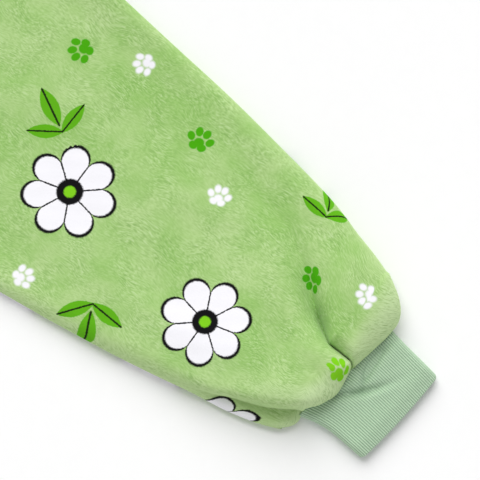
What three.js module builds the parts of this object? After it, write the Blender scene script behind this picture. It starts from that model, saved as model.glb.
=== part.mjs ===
// A plush blanket hoodie lying flat, front up, with doubled rib cuffs.
// Millimetres. X runs along the sleeves, Y from hem to hood, Z up from the surface it lies on.
import * as THREE from 'three';

// Cloth
const CLOTH_WALL = 3;
const SEAM_GAP = 0.3;
const LAYER_GAP = 0.6;
const LAID_TOP = 2 * CLOTH_WALL + LAYER_GAP;

// The rounded edge where the front turns down to the back
const ROLL_TOP = 11;
const ROLL_WIDTH = 8;
const ROLL_REACH = 46;
const SEAM_HEIGHT = ROLL_TOP / 2;

// Body
const HALF_BODY = 400;
const HEM_Y = -690;
const UNDERARM_Y = -182;
const SHOULDER_Y = 169;
const SHOULDER_SLOPE = 0.104;
const HALF_NECK = 115;
const NECK_Y = SHOULDER_Y + SHOULDER_SLOPE * (HALF_BODY - HALF_NECK);
const FRONT_NECK_DROP = 85;
const BACK_NECK_DROP = 20;

// Hood, spread flat above the neck
const HOOD_TOP_Y = 570;
const HALF_HOOD = 165;
const HOOD_WIDEST_Y = 405;
const HALF_FACE = 82;
const FACE_TOP_Y = 490;
const HOOD_SEAM_BEND_Y = 455;

// Sleeve and cuff
const LIP_START_X = 885;
const CUFF_START_X = 905.3;
const CUFF_END_X = 985.6;
const CUFF_END_SLOPE = 0.08;
const CUFF_TOP = 13;
const CUFF_WALL = 3;
const CUFF_RIBS = 96;
const RIB_HEIGHT = 0.6;
const INNER_POINTS = 48;

// How near a point counts as lying on a sewn edge, and how far a slope is measured
const ON_EDGE = 0.5;
const SLOPE_STEP = 0.05;

// The middle of the whole outline, moved to Y = 0
const MIDDLE_Y = (HEM_Y + HOOD_TOP_Y) / 2;

const PLUSH_GREEN = '#a6cd7b';
const RIB_GREEN = '#b2ceac';

// Low folds standing in the front panel: angle in degrees from +X, height above the laid cloth
const FRONT_FOLDS = [
  { x: 285, y: -95, angle: 38, halfLength: 150, halfWidth: 34, height: 8 },
  { x: 250, y: -240, angle: 62, halfLength: 170, halfWidth: 38, height: 6 },
  { x: 90, y: -430, angle: 84, halfLength: 210, halfWidth: 42, height: 7 },
  { x: 300, y: -500, angle: 97, halfLength: 180, halfWidth: 36, height: 6 },
];

// The front panel's folds fade out this near an edge, and are full this far in
const FOLD_FADE = { start: 20, full: 90 };

// Sleeve edges across its length: y of the overarm and underarm folds
const SLEEVE_EDGES = [
  { x: 400, over: 169, under: -182 },
  { x: 513, over: 157.2, under: -163.3 },
  { x: 583, over: 150.8, under: -151.4 },
  { x: 653, over: 145, under: -141.2 },
  { x: 721, over: 137.3, under: -128.6 },
  { x: 770, over: 131.2, under: -118.3 },
  { x: 810, over: 124, under: -108.9 },
  { x: 840, over: 117, under: -103.7 },
  { x: 865, over: 110.4, under: -97.4 },
  { x: 885, over: 103.6, under: -90.4 },
];

// Sleeve fullness: floor of the creases, rise of the lobes above it, and how round each edge is
const SLEEVE_FULLNESS = [
  { x: 400, floor: 6.6, rise: 0, overRound: 8, underRound: 8, flat: 1 },
  { x: 513, floor: 7.2, rise: 2, overRound: 10, underRound: 10, flat: 0.9 },
  { x: 583, floor: 8.5, rise: 4, overRound: 13, underRound: 14, flat: 0.6 },
  { x: 653, floor: 10, rise: 7, overRound: 16, underRound: 18, flat: 0.3 },
  { x: 721, floor: 11.5, rise: 10, overRound: 19, underRound: 20, flat: 0.1 },
  { x: 770, floor: 13, rise: 13, overRound: 22, underRound: 20, flat: 0 },
  { x: 810, floor: 15, rise: 15.5, overRound: 25, underRound: 18, flat: 0 },
  { x: 840, floor: 16.5, rise: 18, overRound: 27, underRound: 15, flat: 0 },
  { x: 865, floor: 17.6, rise: 19.5, overRound: 28, underRound: 12, flat: 0 },
  { x: 885, floor: 18, rise: 20, overRound: 28, underRound: 9, flat: 0 },
];

// The long crease between the two lobes: its line, depth as a share of the rise, half width
const LOBE_CREASE = [
  { x: 700, y: 92, depth: 0, halfWidth: 34 },
  { x: 742, y: 83, depth: 0.16, halfWidth: 32 },
  { x: 779, y: 75, depth: 0.34, halfWidth: 28 },
  { x: 812, y: 59, depth: 0.52, halfWidth: 25 },
  { x: 849, y: 38, depth: 0.8, halfWidth: 22 },
  { x: 866, y: 23, depth: 0.95, halfWidth: 20 },
  { x: 885, y: 14, depth: 1, halfWidth: 19 },
];

// The tuck where the lower lobe lies over the back layer
const UNDER_TUCK = [
  { x: 800, y: -104, depth: 0 },
  { x: 848, y: -86, depth: 0.55 },
  { x: 866, y: -79, depth: 0.9 },
  { x: 885, y: -70, depth: 1 },
];
const TUCK_WIDTH = 24;
const LEDGE_DROP = 5;
const LEDGE_START = 8;

// The crease's flanks, and how the crown of the sleeve falls off towards its edges
const CREASE_SQUARENESS = 2.4;
const EDGE_CROWN = 0.8;
const CROWN_WIDTH = 0.7;

// Rounding of the sleeve's underside at the overarm fold, from its start to the cuff
const OVER_FOOT_ROUND = 14;
const OVER_FOOT_START_X = 600;

// The gathered lip over the cuff, by place across: 1 is the overarm fold, -1 the underarm fold
const LIP = [
  { across: -1, tip: 909, length: 24 },
  { across: -0.9, tip: 908, length: 13 },
  { across: -0.8, tip: 908, length: 8 },
  { across: -0.66, tip: 914, length: 19 },
  { across: -0.42, tip: 919.5, length: 30 },
  { across: -0.2, tip: 920, length: 28 },
  { across: -0.04, tip: 917, length: 15 },
  { across: 0.08, tip: 913.6, length: 7 },
  { across: 0.2, tip: 918, length: 17 },
  { across: 0.4, tip: 925, length: 34 },
  { across: 0.7, tip: 927, length: 42 },
  { across: 1, tip: 927, length: 42 },
];
const LIP_FOLD_TIP = 905.5;
const LIP_FOLD_LENGTH = 22;
const LIP_TURN = THREE.MathUtils.degToRad(104);
const LIP_CLEARANCE = SEAM_GAP + 0.1;
const LIP_LIFT = 0.32;
const LIP_FLAT_ZONE = 0.03;
const LIP_SINK = { middle: 0.15, overarm: 0.5, from: 0.5, to: 0.9 };

// Cuff edges: y of its two folds by distance along the sleeve
const CUFF_EDGES = [
  { x: 905, over: 65, under: -63.5 },
  { x: 922, over: 63.5, under: -59.8 },
  { x: 940, over: 61.3, under: -57.2 },
  { x: 960, over: 58.8, under: -57 },
  { x: 990, over: 55, under: -57.6 },
];

// Soft creases pressed into the top of the cuff beside the notch
const CUFF_CREASES = [
  { x: 933, y: 15, angle: 96, halfLength: 17, halfWidth: 7, depth: 1.6 },
  { x: 940, y: -9, angle: 42, halfLength: 24, halfWidth: 6, depth: 1.8 },
];
const CUFF_TOP_BAND = { start: 0.4 * CUFF_TOP, full: 0.8 * CUFF_TOP };

// Where the hood's fold is widest along its length, and how its face edge bows
const HOOD_BEND = 0.42;
const FACE_BOW = 0.8;
const NECK_FOLLOW = 6;

// Where points stand along each form
const SLEEVE_STATIONS = [400.3, 455, 513, 583, 653, 712, 757, 793, 823, 848, 868, 885];
const LIP_STEPS = [0.17, 0.34, 0.5, 0.66, 0.82, 1];
const FRONT_HALF_STEPS = 30;
const BACK_HALF_STEPS = 12;
const CUFF_STEPS = [0, 0.2, 0.42, 0.66, 0.98];
const NECK_CORNERS = [115, 85, 50, 0];
const EDGE_STEPS = [0.15, 2, 5, 9, 20, 48, 110, 190, 285, 294, 315, 350, 400];
const BODY_LOWER_STEPS = [0, 0.09, 0.25, 0.45, 0.65, 0.83, 0.94, 0.99, 1];
const BODY_UPPER_STEPS = [0.006, 0.022, 0.055, 0.13, 0.32, 0.5, 0.7, 0.87, 0.945, 0.974, 0.986, 0.995, 1];
const HOOD_FOLD_STEPS = [20, 9, 5, 2];
const HOOD_FAR_STEPS = NECK_CORNERS.slice(1).reverse().map((x) => 1 - x / HALF_NECK);
const HOOD_ROWS = 14;

const lerp = THREE.MathUtils.lerp;
const clamp = THREE.MathUtils.clamp;
const smoothstep = THREE.MathUtils.smoothstep;

// A smooth curve through one column of a table, by the table's first column
function readTable(table, column, at) {
  const key = Object.keys(table[0])[0];
  const last = table.length - 1;
  const place = clamp(at, table[0][key], table[last][key]);
  let row = 0;
  while (row < last - 1 && place > table[row + 1][key]) {
    row += 1;
  }
  const slopeAt = (index) => {
    const before = table[Math.max(index - 1, 0)];
    const after = table[Math.min(index + 1, last)];
    return (after[column] - before[column]) / (after[key] - before[key]);
  };
  const span = table[row + 1][key] - table[row][key];
  const t = (place - table[row][key]) / span;
  const startPull = slopeAt(row) * span;
  const endPull = slopeAt(row + 1) * span;
  const change = table[row + 1][column] - table[row][column];
  const bend = 3 * change - 2 * startPull - endPull;
  const twist = startPull + endPull - 2 * change;
  return table[row][column] + t * (startPull + t * (bend + t * twist));
}

// A quarter of a circle's rise, from 0 at an edge to 1 at the end of its rounding
function quarterRise(distance, round) {
  const short = 1 - clamp(distance / round, 0, 1);
  return Math.sqrt(Math.max(0, 1 - short * short));
}

// A soft ridge or trough that fades out along its length
function softRidge(ridge, x, y) {
  const turn = THREE.MathUtils.degToRad(ridge.angle);
  const along = (x - ridge.x) * Math.cos(turn) + (y - ridge.y) * Math.sin(turn);
  const aside = (y - ridge.y) * Math.cos(turn) - (x - ridge.x) * Math.sin(turn);
  return Math.exp(-((along / ridge.halfLength) ** 2) - ((aside / ridge.halfWidth) ** 2));
}

// Top of the front cloth, and underside of the back cloth, by distance from a rounded edge
function frontTop(distance) {
  const level = lerp(ROLL_TOP, LAID_TOP, smoothstep(distance, ROLL_WIDTH, ROLL_REACH));
  return SEAM_HEIGHT + (level - SEAM_HEIGHT) * quarterRise(distance, ROLL_WIDTH);
}

function backUnder(distance) {
  return SEAM_HEIGHT * (1 - quarterRise(distance, ROLL_WIDTH));
}

// One closed piece from an outer and an inner grid of the same size
function clothWall(outer, inner, wrapped) {
  const rows = outer.length;
  const columns = outer[0].length;
  const points = [...outer.flat(), ...inner.flat()];
  const faces = [];
  const quad = (a, b, c, d) => faces.push([a, b, c], [a, c, d]);
  const steps = wrapped ? columns : columns - 1;
  const outerAt = (row, column) => row * columns + (column % columns);
  const innerAt = (row, column) => rows * columns + outerAt(row, column);
  for (let row = 0; row < rows - 1; row += 1) {
    for (let column = 0; column < steps; column += 1) {
      const next = column + 1;
      quad(outerAt(row, column), outerAt(row, next), outerAt(row + 1, next), outerAt(row + 1, column));
      quad(innerAt(row, column), innerAt(row + 1, column), innerAt(row + 1, next), innerAt(row, next));
    }
  }
  for (let column = 0; column < steps; column += 1) {
    const next = column + 1;
    const end = rows - 1;
    quad(outerAt(0, column), innerAt(0, column), innerAt(0, next), outerAt(0, next));
    quad(outerAt(end, column), outerAt(end, next), innerAt(end, next), innerAt(end, column));
  }
  if (!wrapped) {
    const side = columns - 1;
    for (let row = 0; row < rows - 1; row += 1) {
      quad(outerAt(row, 0), outerAt(row + 1, 0), innerAt(row + 1, 0), innerAt(row, 0));
      quad(outerAt(row, side), innerAt(row, side), innerAt(row + 1, side), outerAt(row + 1, side));
    }
  }
  return { points, faces };
}

// The direction square to a grid at each of its points, by the right hand from columns to rows
function gridNormals(grid, wrapped) {
  const rows = grid.length;
  const columns = grid[0].length;
  return grid.map((line, row) => line.map((point, column) => {
    const up = grid[Math.min(row + 1, rows - 1)][column];
    const down = grid[Math.max(row - 1, 0)][column];
    const nextColumn = wrapped ? (column + 1) % columns : Math.min(column + 1, columns - 1);
    const lastColumn = wrapped ? (column + columns - 1) % columns : Math.max(column - 1, 0);
    const along = up.clone().sub(down);
    const across = grid[row][nextColumn].clone().sub(grid[row][lastColumn]);
    return across.cross(along).normalize();
  }));
}

// Turns the piece's faces outward and makes the named mesh, mirrored for the other side
function makePiece(name, solid, colour, roughness, mirrored) {
  const points = solid.points.map((point) => new THREE.Vector3(
    mirrored ? -point.x : point.x,
    point.y - MIDDLE_Y,
    point.z,
  ));
  let volume = 0;
  for (const [a, b, c] of solid.faces) {
    volume += points[a].dot(points[b].clone().cross(points[c]));
  }
  const indices = solid.faces.flatMap(([a, b, c]) => (volume > 0 ? [a, b, c] : [a, c, b]));
  const geometry = new THREE.BufferGeometry();
  geometry.setAttribute('position', new THREE.Float32BufferAttribute(
    points.flatMap((point) => [point.x, point.y, point.z]),
    3,
  ));
  geometry.setIndex(indices);
  geometry.computeVertexNormals();
  const material = new THREE.MeshStandardMaterial({ color: colour, roughness, metalness: 0 });
  material.name = name;
  const mesh = new THREE.Mesh(geometry, material);
  mesh.name = name;
  return mesh;
}

// Distance from the sewn outline of the body, and the direction inward from it
function outlineDistance(x, y) {
  const side = Math.abs(x);
  const sideY = Math.min(y, UNDERARM_Y);
  const shoulderRun = new THREE.Vector2(HALF_NECK - HALF_BODY, NECK_Y - SHOULDER_Y);
  const fromShoulder = new THREE.Vector2(side - HALF_BODY, y - SHOULDER_Y);
  const share = clamp(fromShoulder.dot(shoulderRun) / shoulderRun.lengthSq(), 0, 1);
  const toSide = new THREE.Vector2(side - HALF_BODY, y - sideY);
  const toShoulder = fromShoulder.sub(shoulderRun.clone().multiplyScalar(share));
  const nearSide = toSide.length() < toShoulder.length();
  const nearest = nearSide ? toSide : toShoulder;
  const distance = nearest.length();
  let inward = nearest.clone().normalize();
  if (distance < ON_EDGE) {
    const square = new THREE.Vector2(-shoulderRun.y, shoulderRun.x).normalize();
    const corner = new THREE.Vector2(-1, y >= UNDERARM_Y - SLOPE_STEP ? 1 : 0).normalize();
    inward = nearSide ? corner : square;
  }
  return { distance, inward: new THREE.Vector2(inward.x * Math.sign(x || 1), inward.y) };
}

// The y of a body panel's top edge: the shoulder line, or the neckline between the shoulders
function bodyTop(x, neckDrop) {
  const side = Math.abs(x);
  if (side >= HALF_NECK) {
    return SHOULDER_Y + SHOULDER_SLOPE * (HALF_BODY - side);
  }
  const cornerY = (x) => NECK_Y - neckDrop * (1 - (x / HALF_NECK) ** 2);
  const next = Math.max(1, NECK_CORNERS.findIndex((x) => x <= side));
  const [far, near] = [NECK_CORNERS[next - 1], NECK_CORNERS[next]];
  return lerp(cornerY(near), cornerY(far), (side - near) / (far - near));
}

function necklineDirection(x, neckDrop) {
  const change = bodyTop(x + 1, neckDrop) - bodyTop(x - 1, neckDrop);
  return new THREE.Vector3(2, change, 0).normalize();
}

// Turns a direction so that it leans only along a seam, not across it
function keepAlongSeam(direction, seam) {
  const across = new THREE.Vector3(-seam.y, seam.x, 0);
  return direction.addScaledVector(across, -direction.dot(across)).normalize();
}

function foldHeight(x, y) {
  const { distance } = outlineDistance(x, y);
  const fromNeck = bodyTop(x, FRONT_NECK_DROP) - y;
  const fromArmhole = HALF_BODY - Math.abs(x);
  const nearest = Math.min(distance, fromNeck, fromArmhole);
  const clear = smoothstep(nearest, FOLD_FADE.start, FOLD_FADE.full);
  const height = FRONT_FOLDS.reduce(
    (sum, fold) => sum + fold.height * softRidge(fold, Math.abs(x), y),
    0,
  );
  return height * clear;
}

function bodyPanel(isFront) {
  const neckDrop = isFront ? FRONT_NECK_DROP : BACK_NECK_DROP;
  const rightX = EDGE_STEPS.map((step) => HALF_BODY - step);
  const columnsX = [...rightX, ...rightX.slice(0, -1).reverse().map((x) => -x)];
  const columnY = (x) => {
    const top = bodyTop(x, neckDrop);
    return [
      ...BODY_LOWER_STEPS.map((share) => lerp(HEM_Y, UNDERARM_Y, share)),
      ...BODY_UPPER_STEPS.map((share) => lerp(UNDERARM_Y, top, share)),
    ];
  };
  const height = isFront ? frontTop : backUnder;
  const lift = isFront ? SEAM_GAP / 2 : -SEAM_GAP / 2;
  const outer = [];
  const inner = [];
  columnsX.forEach((x) => columnY(x).forEach((y, row) => {
    const { distance, inward } = outlineDistance(x, y);
    const onEdge = distance < ON_EDGE;
    const fold = isFront ? foldHeight(x, y) : 0;
    const seamLift = lift * (1 - smoothstep(distance, 0, CLOTH_WALL));
    const edgeZ = SEAM_HEIGHT + lift;
    const point = new THREE.Vector3(x, y, onEdge ? edgeZ : height(distance) + seamLift + fold);
    const rise = height(distance + SLOPE_STEP) - height(distance - SLOPE_STEP);
    const slope = rise / (2 * SLOPE_STEP);
    const foldX = isFront ? (foldHeight(x + 1, y) - foldHeight(x - 1, y)) / 2 : 0;
    const foldY = isFront ? (foldHeight(x, y + 1) - foldHeight(x, y - 1)) / 2 : 0;
    const out = new THREE.Vector3(-slope * inward.x - foldX, -slope * inward.y - foldY, 1);
    out.multiplyScalar(isFront ? 1 : -1).normalize();
    if (onEdge) {
      out.set(-inward.x, -inward.y, 0);
    }
    if (Math.abs(x) < HALF_NECK && Math.abs(y - bodyTop(x, neckDrop)) < SLOPE_STEP) {
      keepAlongSeam(out, necklineDirection(x, neckDrop));
    }
    outer[row] = outer[row] ?? [];
    inner[row] = inner[row] ?? [];
    outer[row].push(point);
    inner[row].push(point.clone().addScaledVector(out, -CLOTH_WALL));
  }));
  return clothWall(outer, inner, false);
}

// Top of the sleeve's front cloth
function sleeveTop(x, y) {
  const over = readTable(SLEEVE_EDGES, 'over', x);
  const under = readTable(SLEEVE_EDGES, 'under', x);
  const flat = readTable(SLEEVE_FULLNESS, 'flat', x);
  const floor = readTable(SLEEVE_FULLNESS, 'floor', x);
  const rise = readTable(SLEEVE_FULLNESS, 'rise', x);
  const fromOver = over - y;
  const fromUnder = y - under;
  const nearest = Math.min(fromOver, fromUnder);
  const roll = (ROLL_TOP - LAID_TOP) * flat * (1 - smoothstep(nearest, ROLL_WIDTH, ROLL_REACH));
  const aside = (y - readTable(LOBE_CREASE, 'y', x)) / readTable(LOBE_CREASE, 'halfWidth', x);
  const creased = Math.exp(-(Math.abs(aside) ** CREASE_SQUARENESS)) * readTable(LOBE_CREASE, 'depth', x);
  const tuckY = readTable(UNDER_TUCK, 'y', x);
  const tucked = readTable(UNDER_TUCK, 'depth', x) * (1 - smoothstep(y, tuckY, tuckY + TUCK_WIDTH));
  const middle = clamp(nearest / (0.5 * (over - under)), 0, 1);
  const dome = lerp(EDGE_CROWN, 1, smoothstep(middle, 0, CROWN_WIDTH));
  const onLedge = 1 - smoothstep(y, under + LEDGE_START, tuckY);
  const ledge = LEDGE_DROP * readTable(UNDER_TUCK, 'depth', x) * onLedge;
  return floor + roll + rise * dome * (1 - creased) * (1 - tucked) - ledge;
}

function sleeveSection(x, turn) {
  const over = readTable(SLEEVE_EDGES, 'over', x);
  const under = readTable(SLEEVE_EDGES, 'under', x);
  const across = Math.cos(turn);
  const y = lerp(under, over, (across + 1) / 2);
  const fromOver = over - y;
  const fromUnder = y - under;
  const overRound = readTable(SLEEVE_FULLNESS, 'overRound', x);
  const underRound = readTable(SLEEVE_FULLNESS, 'underRound', x);
  const seamHeight = lerp(SEAM_HEIGHT, CUFF_TOP / 2, smoothstep(x, 400, LIP_START_X));
  const towardsCuff = smoothstep(x, OVER_FOOT_START_X, LIP_START_X);
  const overFoot = lerp(ROLL_WIDTH, OVER_FOOT_ROUND, towardsCuff);
  if (turn > Math.PI) {
    const foot = quarterRise(fromOver, overFoot) * quarterRise(fromUnder, ROLL_WIDTH);
    return new THREE.Vector3(x, y, seamHeight * (1 - foot));
  }
  const rounding = quarterRise(fromOver, overRound) * quarterRise(fromUnder, underRound);
  return new THREE.Vector3(x, y, seamHeight + (sleeveTop(x, y) - seamHeight) * rounding);
}

// The flattened cuff outline at one place across, top or bottom
function cuffSurface(x, across, isTop, spread) {
  const over = readTable(CUFF_EDGES, 'over', x) + spread;
  const under = readTable(CUFF_EDGES, 'under', x) - spread;
  const y = lerp(under, over, (across + 1) / 2);
  const radius = CUFF_TOP / 2 + (isTop ? spread : 0);
  const rounding = quarterRise(Math.min(over - y, y - under), radius);
  const z = isTop ? CUFF_TOP / 2 + radius * rounding : (CUFF_TOP / 2) * (1 - rounding);
  return new THREE.Vector3(x, y, z);
}

// The sleeve's end, rolled over the cuff seam above and laid straight to it below
function lipPoint(turn, share) {
  const start = sleeveSection(LIP_START_X, turn);
  const across = Math.cos(turn);
  const isTop = turn <= Math.PI;
  const lifted = smoothstep(Math.sin(turn), 0, LIP_LIFT);
  const tip = lerp(LIP_FOLD_TIP, readTable(LIP, 'tip', across), lifted);
  const length = lerp(LIP_FOLD_LENGTH, readTable(LIP, 'length', across), lifted);
  const angle = share * LIP_TURN;
  const turned = (1 - Math.cos(angle)) / (1 - Math.cos(LIP_TURN));
  const end = cuffSurface(tip, across, isTop, LIP_CLEARANCE);
  const rolled = start.clone();
  rolled.x = tip - length * (1 - Math.sin(angle));
  const overarm = smoothstep(across, LIP_SINK.from, LIP_SINK.to);
  const straight = lerp(LIP_SINK.middle, LIP_SINK.overarm, overarm);
  const sink = lerp(turned, share, straight);
  rolled.y = lerp(start.y, end.y, sink);
  rolled.z = lerp(start.z, end.z, turned);
  if (turn > 0 && turn < Math.PI) {
    return rolled;
  }
  const seamX = CUFF_START_X - SEAM_GAP;
  const laid = new THREE.Vector3(
    lerp(LIP_START_X, seamX, share),
    lerp(start.y, end.y, smoothstep(share, 0, 1)),
    lerp(start.z, end.z, share),
  );
  const below = smoothstep(1 - Math.abs(across), 0, LIP_FLAT_ZONE);
  return rolled.lerp(laid, below);
}

function sleeve() {
  const turns = [];
  for (let step = 0; step < FRONT_HALF_STEPS; step += 1) {
    turns.push((Math.PI * step) / FRONT_HALF_STEPS);
  }
  for (let step = 0; step < BACK_HALF_STEPS; step += 1) {
    turns.push(Math.PI * (1 + step / BACK_HALF_STEPS));
  }
  const outer = [
    ...SLEEVE_STATIONS.map((x) => turns.map((turn) => sleeveSection(x, turn))),
    ...LIP_STEPS.map((share) => turns.map((turn) => lipPoint(turn, share))),
  ];
  const normals = gridNormals(outer, true);
  normals[0].forEach((normal) => normal.setX(0).normalize());
  turns.forEach((turn, column) => {
    if (turn <= Math.PI) {
      const across = Math.cos(turn);
      const away = cuffSurface(LIP_FOLD_TIP, across, true, 2);
      away.sub(cuffSurface(LIP_FOLD_TIP, across, true, 0)).normalize();
      const normal = normals.at(-1)[column];
      normal.addScaledVector(away, -Math.max(0, normal.dot(away))).normalize();
    }
  });
  const inner = outer.map((line, row) => line.map((point, column) => (
    point.clone().addScaledVector(normals[row][column], -CLOTH_WALL)
  )));
  return clothWall(outer, inner, true);
}

// One point of a cuff ring by its share of the way round, sunk below the rib tops by a depth
function cuffRingPoint(x, share, sunk) {
  const over = readTable(CUFF_EDGES, 'over', x);
  const under = readTable(CUFF_EDGES, 'under', x);
  const radius = CUFF_TOP / 2;
  const flat = over - under - 2 * radius;
  const round = Math.PI * radius;
  let way = share * 2 * (flat + round);
  let place = new THREE.Vector2();
  let out = new THREE.Vector2();
  if (way < flat) {
    place.set(over - radius - way, CUFF_TOP);
    out.set(0, 1);
  } else if (way < flat + round) {
    const angle = Math.PI / 2 + (way - flat) / radius;
    out.set(Math.cos(angle), Math.sin(angle));
    place.set(under + radius, radius).addScaledVector(out, radius);
  } else if (way < 2 * flat + round) {
    way -= flat + round;
    place.set(under + radius + way, 0);
    out.set(0, -1);
  } else {
    way -= 2 * flat + round;
    const angle = -Math.PI / 2 + way / radius;
    out.set(Math.cos(angle), Math.sin(angle));
    place.set(over - radius, radius).addScaledVector(out, radius);
  }
  const endX = CUFF_END_X + CUFF_END_SLOPE * place.x;
  const along = (x - CUFF_START_X) / (CUFF_END_X - CUFF_START_X);
  const slantX = lerp(CUFF_START_X, endX, along);
  place.addScaledVector(out, -sunk);
  const pressed = CUFF_CREASES.reduce(
    (sum, crease) => sum + crease.depth * softRidge(crease, slantX, place.x),
    0,
  );
  const topShare = smoothstep(place.y, CUFF_TOP_BAND.start, CUFF_TOP_BAND.full);
  return new THREE.Vector3(slantX, place.x, place.y - pressed * topShare);
}

function cuff() {
  const ribPoints = 2 * CUFF_RIBS;
  const perInner = ribPoints / INNER_POINTS;
  const stations = CUFF_STEPS.map((share) => lerp(CUFF_START_X, CUFF_END_X, share));
  const points = [];
  const faces = [];
  const addRing = (count, makePoint) => {
    const first = points.length;
    for (let index = 0; index < count; index += 1) {
      points.push(makePoint(index / count, index));
    }
    return { first, count };
  };
  const at = (ring, index) => ring.first + (index % ring.count);
  const ribSink = (index) => (index % 2 === 0 ? RIB_HEIGHT : 0);
  const outer = stations.map((x) => addRing(
    ribPoints,
    (share, index) => cuffRingPoint(x, share, ribSink(index)),
  ));
  const inner = stations.map((x) => addRing(
    INNER_POINTS,
    (share) => cuffRingPoint(x, share, CUFF_WALL),
  ));
  const fold = addRing(
    ribPoints,
    (share, index) => cuffRingPoint(CUFF_END_X, share, CUFF_WALL / 2 + ribSink(index) / 2),
  );
  const band = (near, far) => {
    for (let index = 0; index < near.count; index += 1) {
      const corners = [at(near, index), at(near, index + 1), at(far, index + 1), at(far, index)];
      faces.push([corners[0], corners[1], corners[2]], [corners[0], corners[2], corners[3]]);
    }
  };
  const fan = (fine, coarse, flip) => {
    const push = (a, b, c) => faces.push(flip ? [a, c, b] : [a, b, c]);
    const half = perInner / 2;
    for (let index = 0; index < coarse.count; index += 1) {
      const start = index * perInner;
      for (let step = 0; step < perInner; step += 1) {
        const corner = at(coarse, step < half ? index : index + 1);
        push(at(fine, start + step), at(fine, start + step + 1), corner);
      }
      push(at(coarse, index), at(fine, start + half), at(coarse, index + 1));
    }
  };
  for (let row = 0; row < stations.length - 1; row += 1) {
    band(outer[row], outer[row + 1]);
    band(inner[row + 1], inner[row]);
  }
  band(outer[stations.length - 1], fold);
  fan(fold, inner[stations.length - 1], false);
  fan(outer[0], inner[0], true);
  return { points, faces };
}

// The outer fold of the hood, from the neck over the crown
function hoodFold(share) {
  if (share < HOOD_BEND) {
    const t = share / HOOD_BEND;
    const x = HALF_HOOD - (HALF_HOOD - HALF_NECK) * (1 - t) ** 2;
    return new THREE.Vector2(x, lerp(NECK_Y + SEAM_GAP, HOOD_WIDEST_Y, t));
  }
  const angle = ((share - HOOD_BEND) / (1 - HOOD_BEND)) * (Math.PI / 2);
  return new THREE.Vector2(
    Math.max(SEAM_GAP / 2, HALF_HOOD * Math.cos(angle)),
    HOOD_WIDEST_Y + (HOOD_TOP_Y - HOOD_WIDEST_Y) * Math.sin(angle),
  );
}

// The edge round the face, from the front of the neck to the forehead
function faceEdge(share) {
  const bottom = NECK_Y - FRONT_NECK_DROP + SEAM_GAP;
  return new THREE.Vector2(
    Math.max(SEAM_GAP / 2, HALF_FACE * Math.sin(Math.PI * share) ** FACE_BOW),
    lerp(bottom, FACE_TOP_Y, share),
  );
}

function hoodHalf() {
  const outer = [];
  for (let row = 0; row <= HOOD_ROWS; row += 1) {
    const share = row / HOOD_ROWS;
    const fold = hoodFold(share);
    const backSeam = new THREE.Vector2(
      SEAM_GAP / 2,
      lerp(NECK_Y - BACK_NECK_DROP + SEAM_GAP, HOOD_SEAM_BEND_Y, share),
    );
    const face = faceEdge(share);
    const line = [];
    const neckPull = (1 - share) ** NECK_FOLLOW;
    const add = (target, distance, isTop) => {
      const length = fold.distanceTo(target);
      const place = fold.clone().lerp(target, distance / length);
      const drop = isTop ? FRONT_NECK_DROP : BACK_NECK_DROP;
      const neckline = bodyTop(Math.min(place.x, HALF_NECK), drop) + SEAM_GAP;
      const straight = lerp(NECK_Y + SEAM_GAP, target.y, distance / length);
      place.y += (neckline - straight) * neckPull;
      const z = isTop ? frontTop(distance) : backUnder(distance);
      line.push(new THREE.Vector3(place.x, place.y, z));
    };
    const backLength = fold.distanceTo(backSeam);
    const faceLength = fold.distanceTo(face);
    HOOD_FAR_STEPS.forEach((far) => add(backSeam, backLength * far, false));
    HOOD_FOLD_STEPS.forEach((near) => add(backSeam, near, false));
    line.push(new THREE.Vector3(fold.x, fold.y, SEAM_HEIGHT));
    [...HOOD_FOLD_STEPS].reverse().forEach((near) => add(face, near, true));
    [...HOOD_FAR_STEPS].reverse().forEach((far) => add(face, faceLength * far, true));
    outer.push(line);
  }
  // This grid runs the other way round, so its normals point into the hood
  const normals = gridNormals(outer, false);
  normals[HOOD_ROWS][0].copy(normals[HOOD_ROWS][1]);
  normals.forEach((line, row) => line.forEach((normal, column) => {
    if (column === 0 || row === HOOD_ROWS) {
      normal.setX(0).normalize();
    }
    if (row === 0) {
      const isTop = column >= line.length / 2;
      const drop = isTop ? FRONT_NECK_DROP : BACK_NECK_DROP;
      keepAlongSeam(normal, necklineDirection(outer[0][column].x, drop));
    }
  }));
  const inner = outer.map((line, row) => line.map((point, column) => (
    point.clone().addScaledVector(normals[row][column], CLOTH_WALL)
  )));
  return clothWall(outer, inner, false);
}

const garment = new THREE.Group();
garment.name = 'blanket_hoodie';
const sleeveSolid = sleeve();
const cuffSolid = cuff();
const hoodSolid = hoodHalf();
garment.add(
  makePiece('body_front', bodyPanel(true), PLUSH_GREEN, 0.95, false),
  makePiece('body_back', bodyPanel(false), PLUSH_GREEN, 0.95, false),
  makePiece('sleeve_left', sleeveSolid, PLUSH_GREEN, 0.95, false),
  makePiece('sleeve_right', sleeveSolid, PLUSH_GREEN, 0.95, true),
  makePiece('cuff_left', cuffSolid, RIB_GREEN, 0.85, false),
  makePiece('cuff_right', cuffSolid, RIB_GREEN, 0.85, true),
  makePiece('hood_left', hoodSolid, PLUSH_GREEN, 0.95, false),
  makePiece('hood_right', hoodSolid, PLUSH_GREEN, 0.95, true),
);

export default garment;
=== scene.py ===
"""A plush blanket hoodie laid flat, front up: printed plush panels and doubled rib cuffs.

Forms are worked out in millimetres: X along the sleeves, Y from hem to hood, Z up from the floor.
"""
import math

import bpy
import numpy as np
from mathutils import Matrix, Vector


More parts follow.
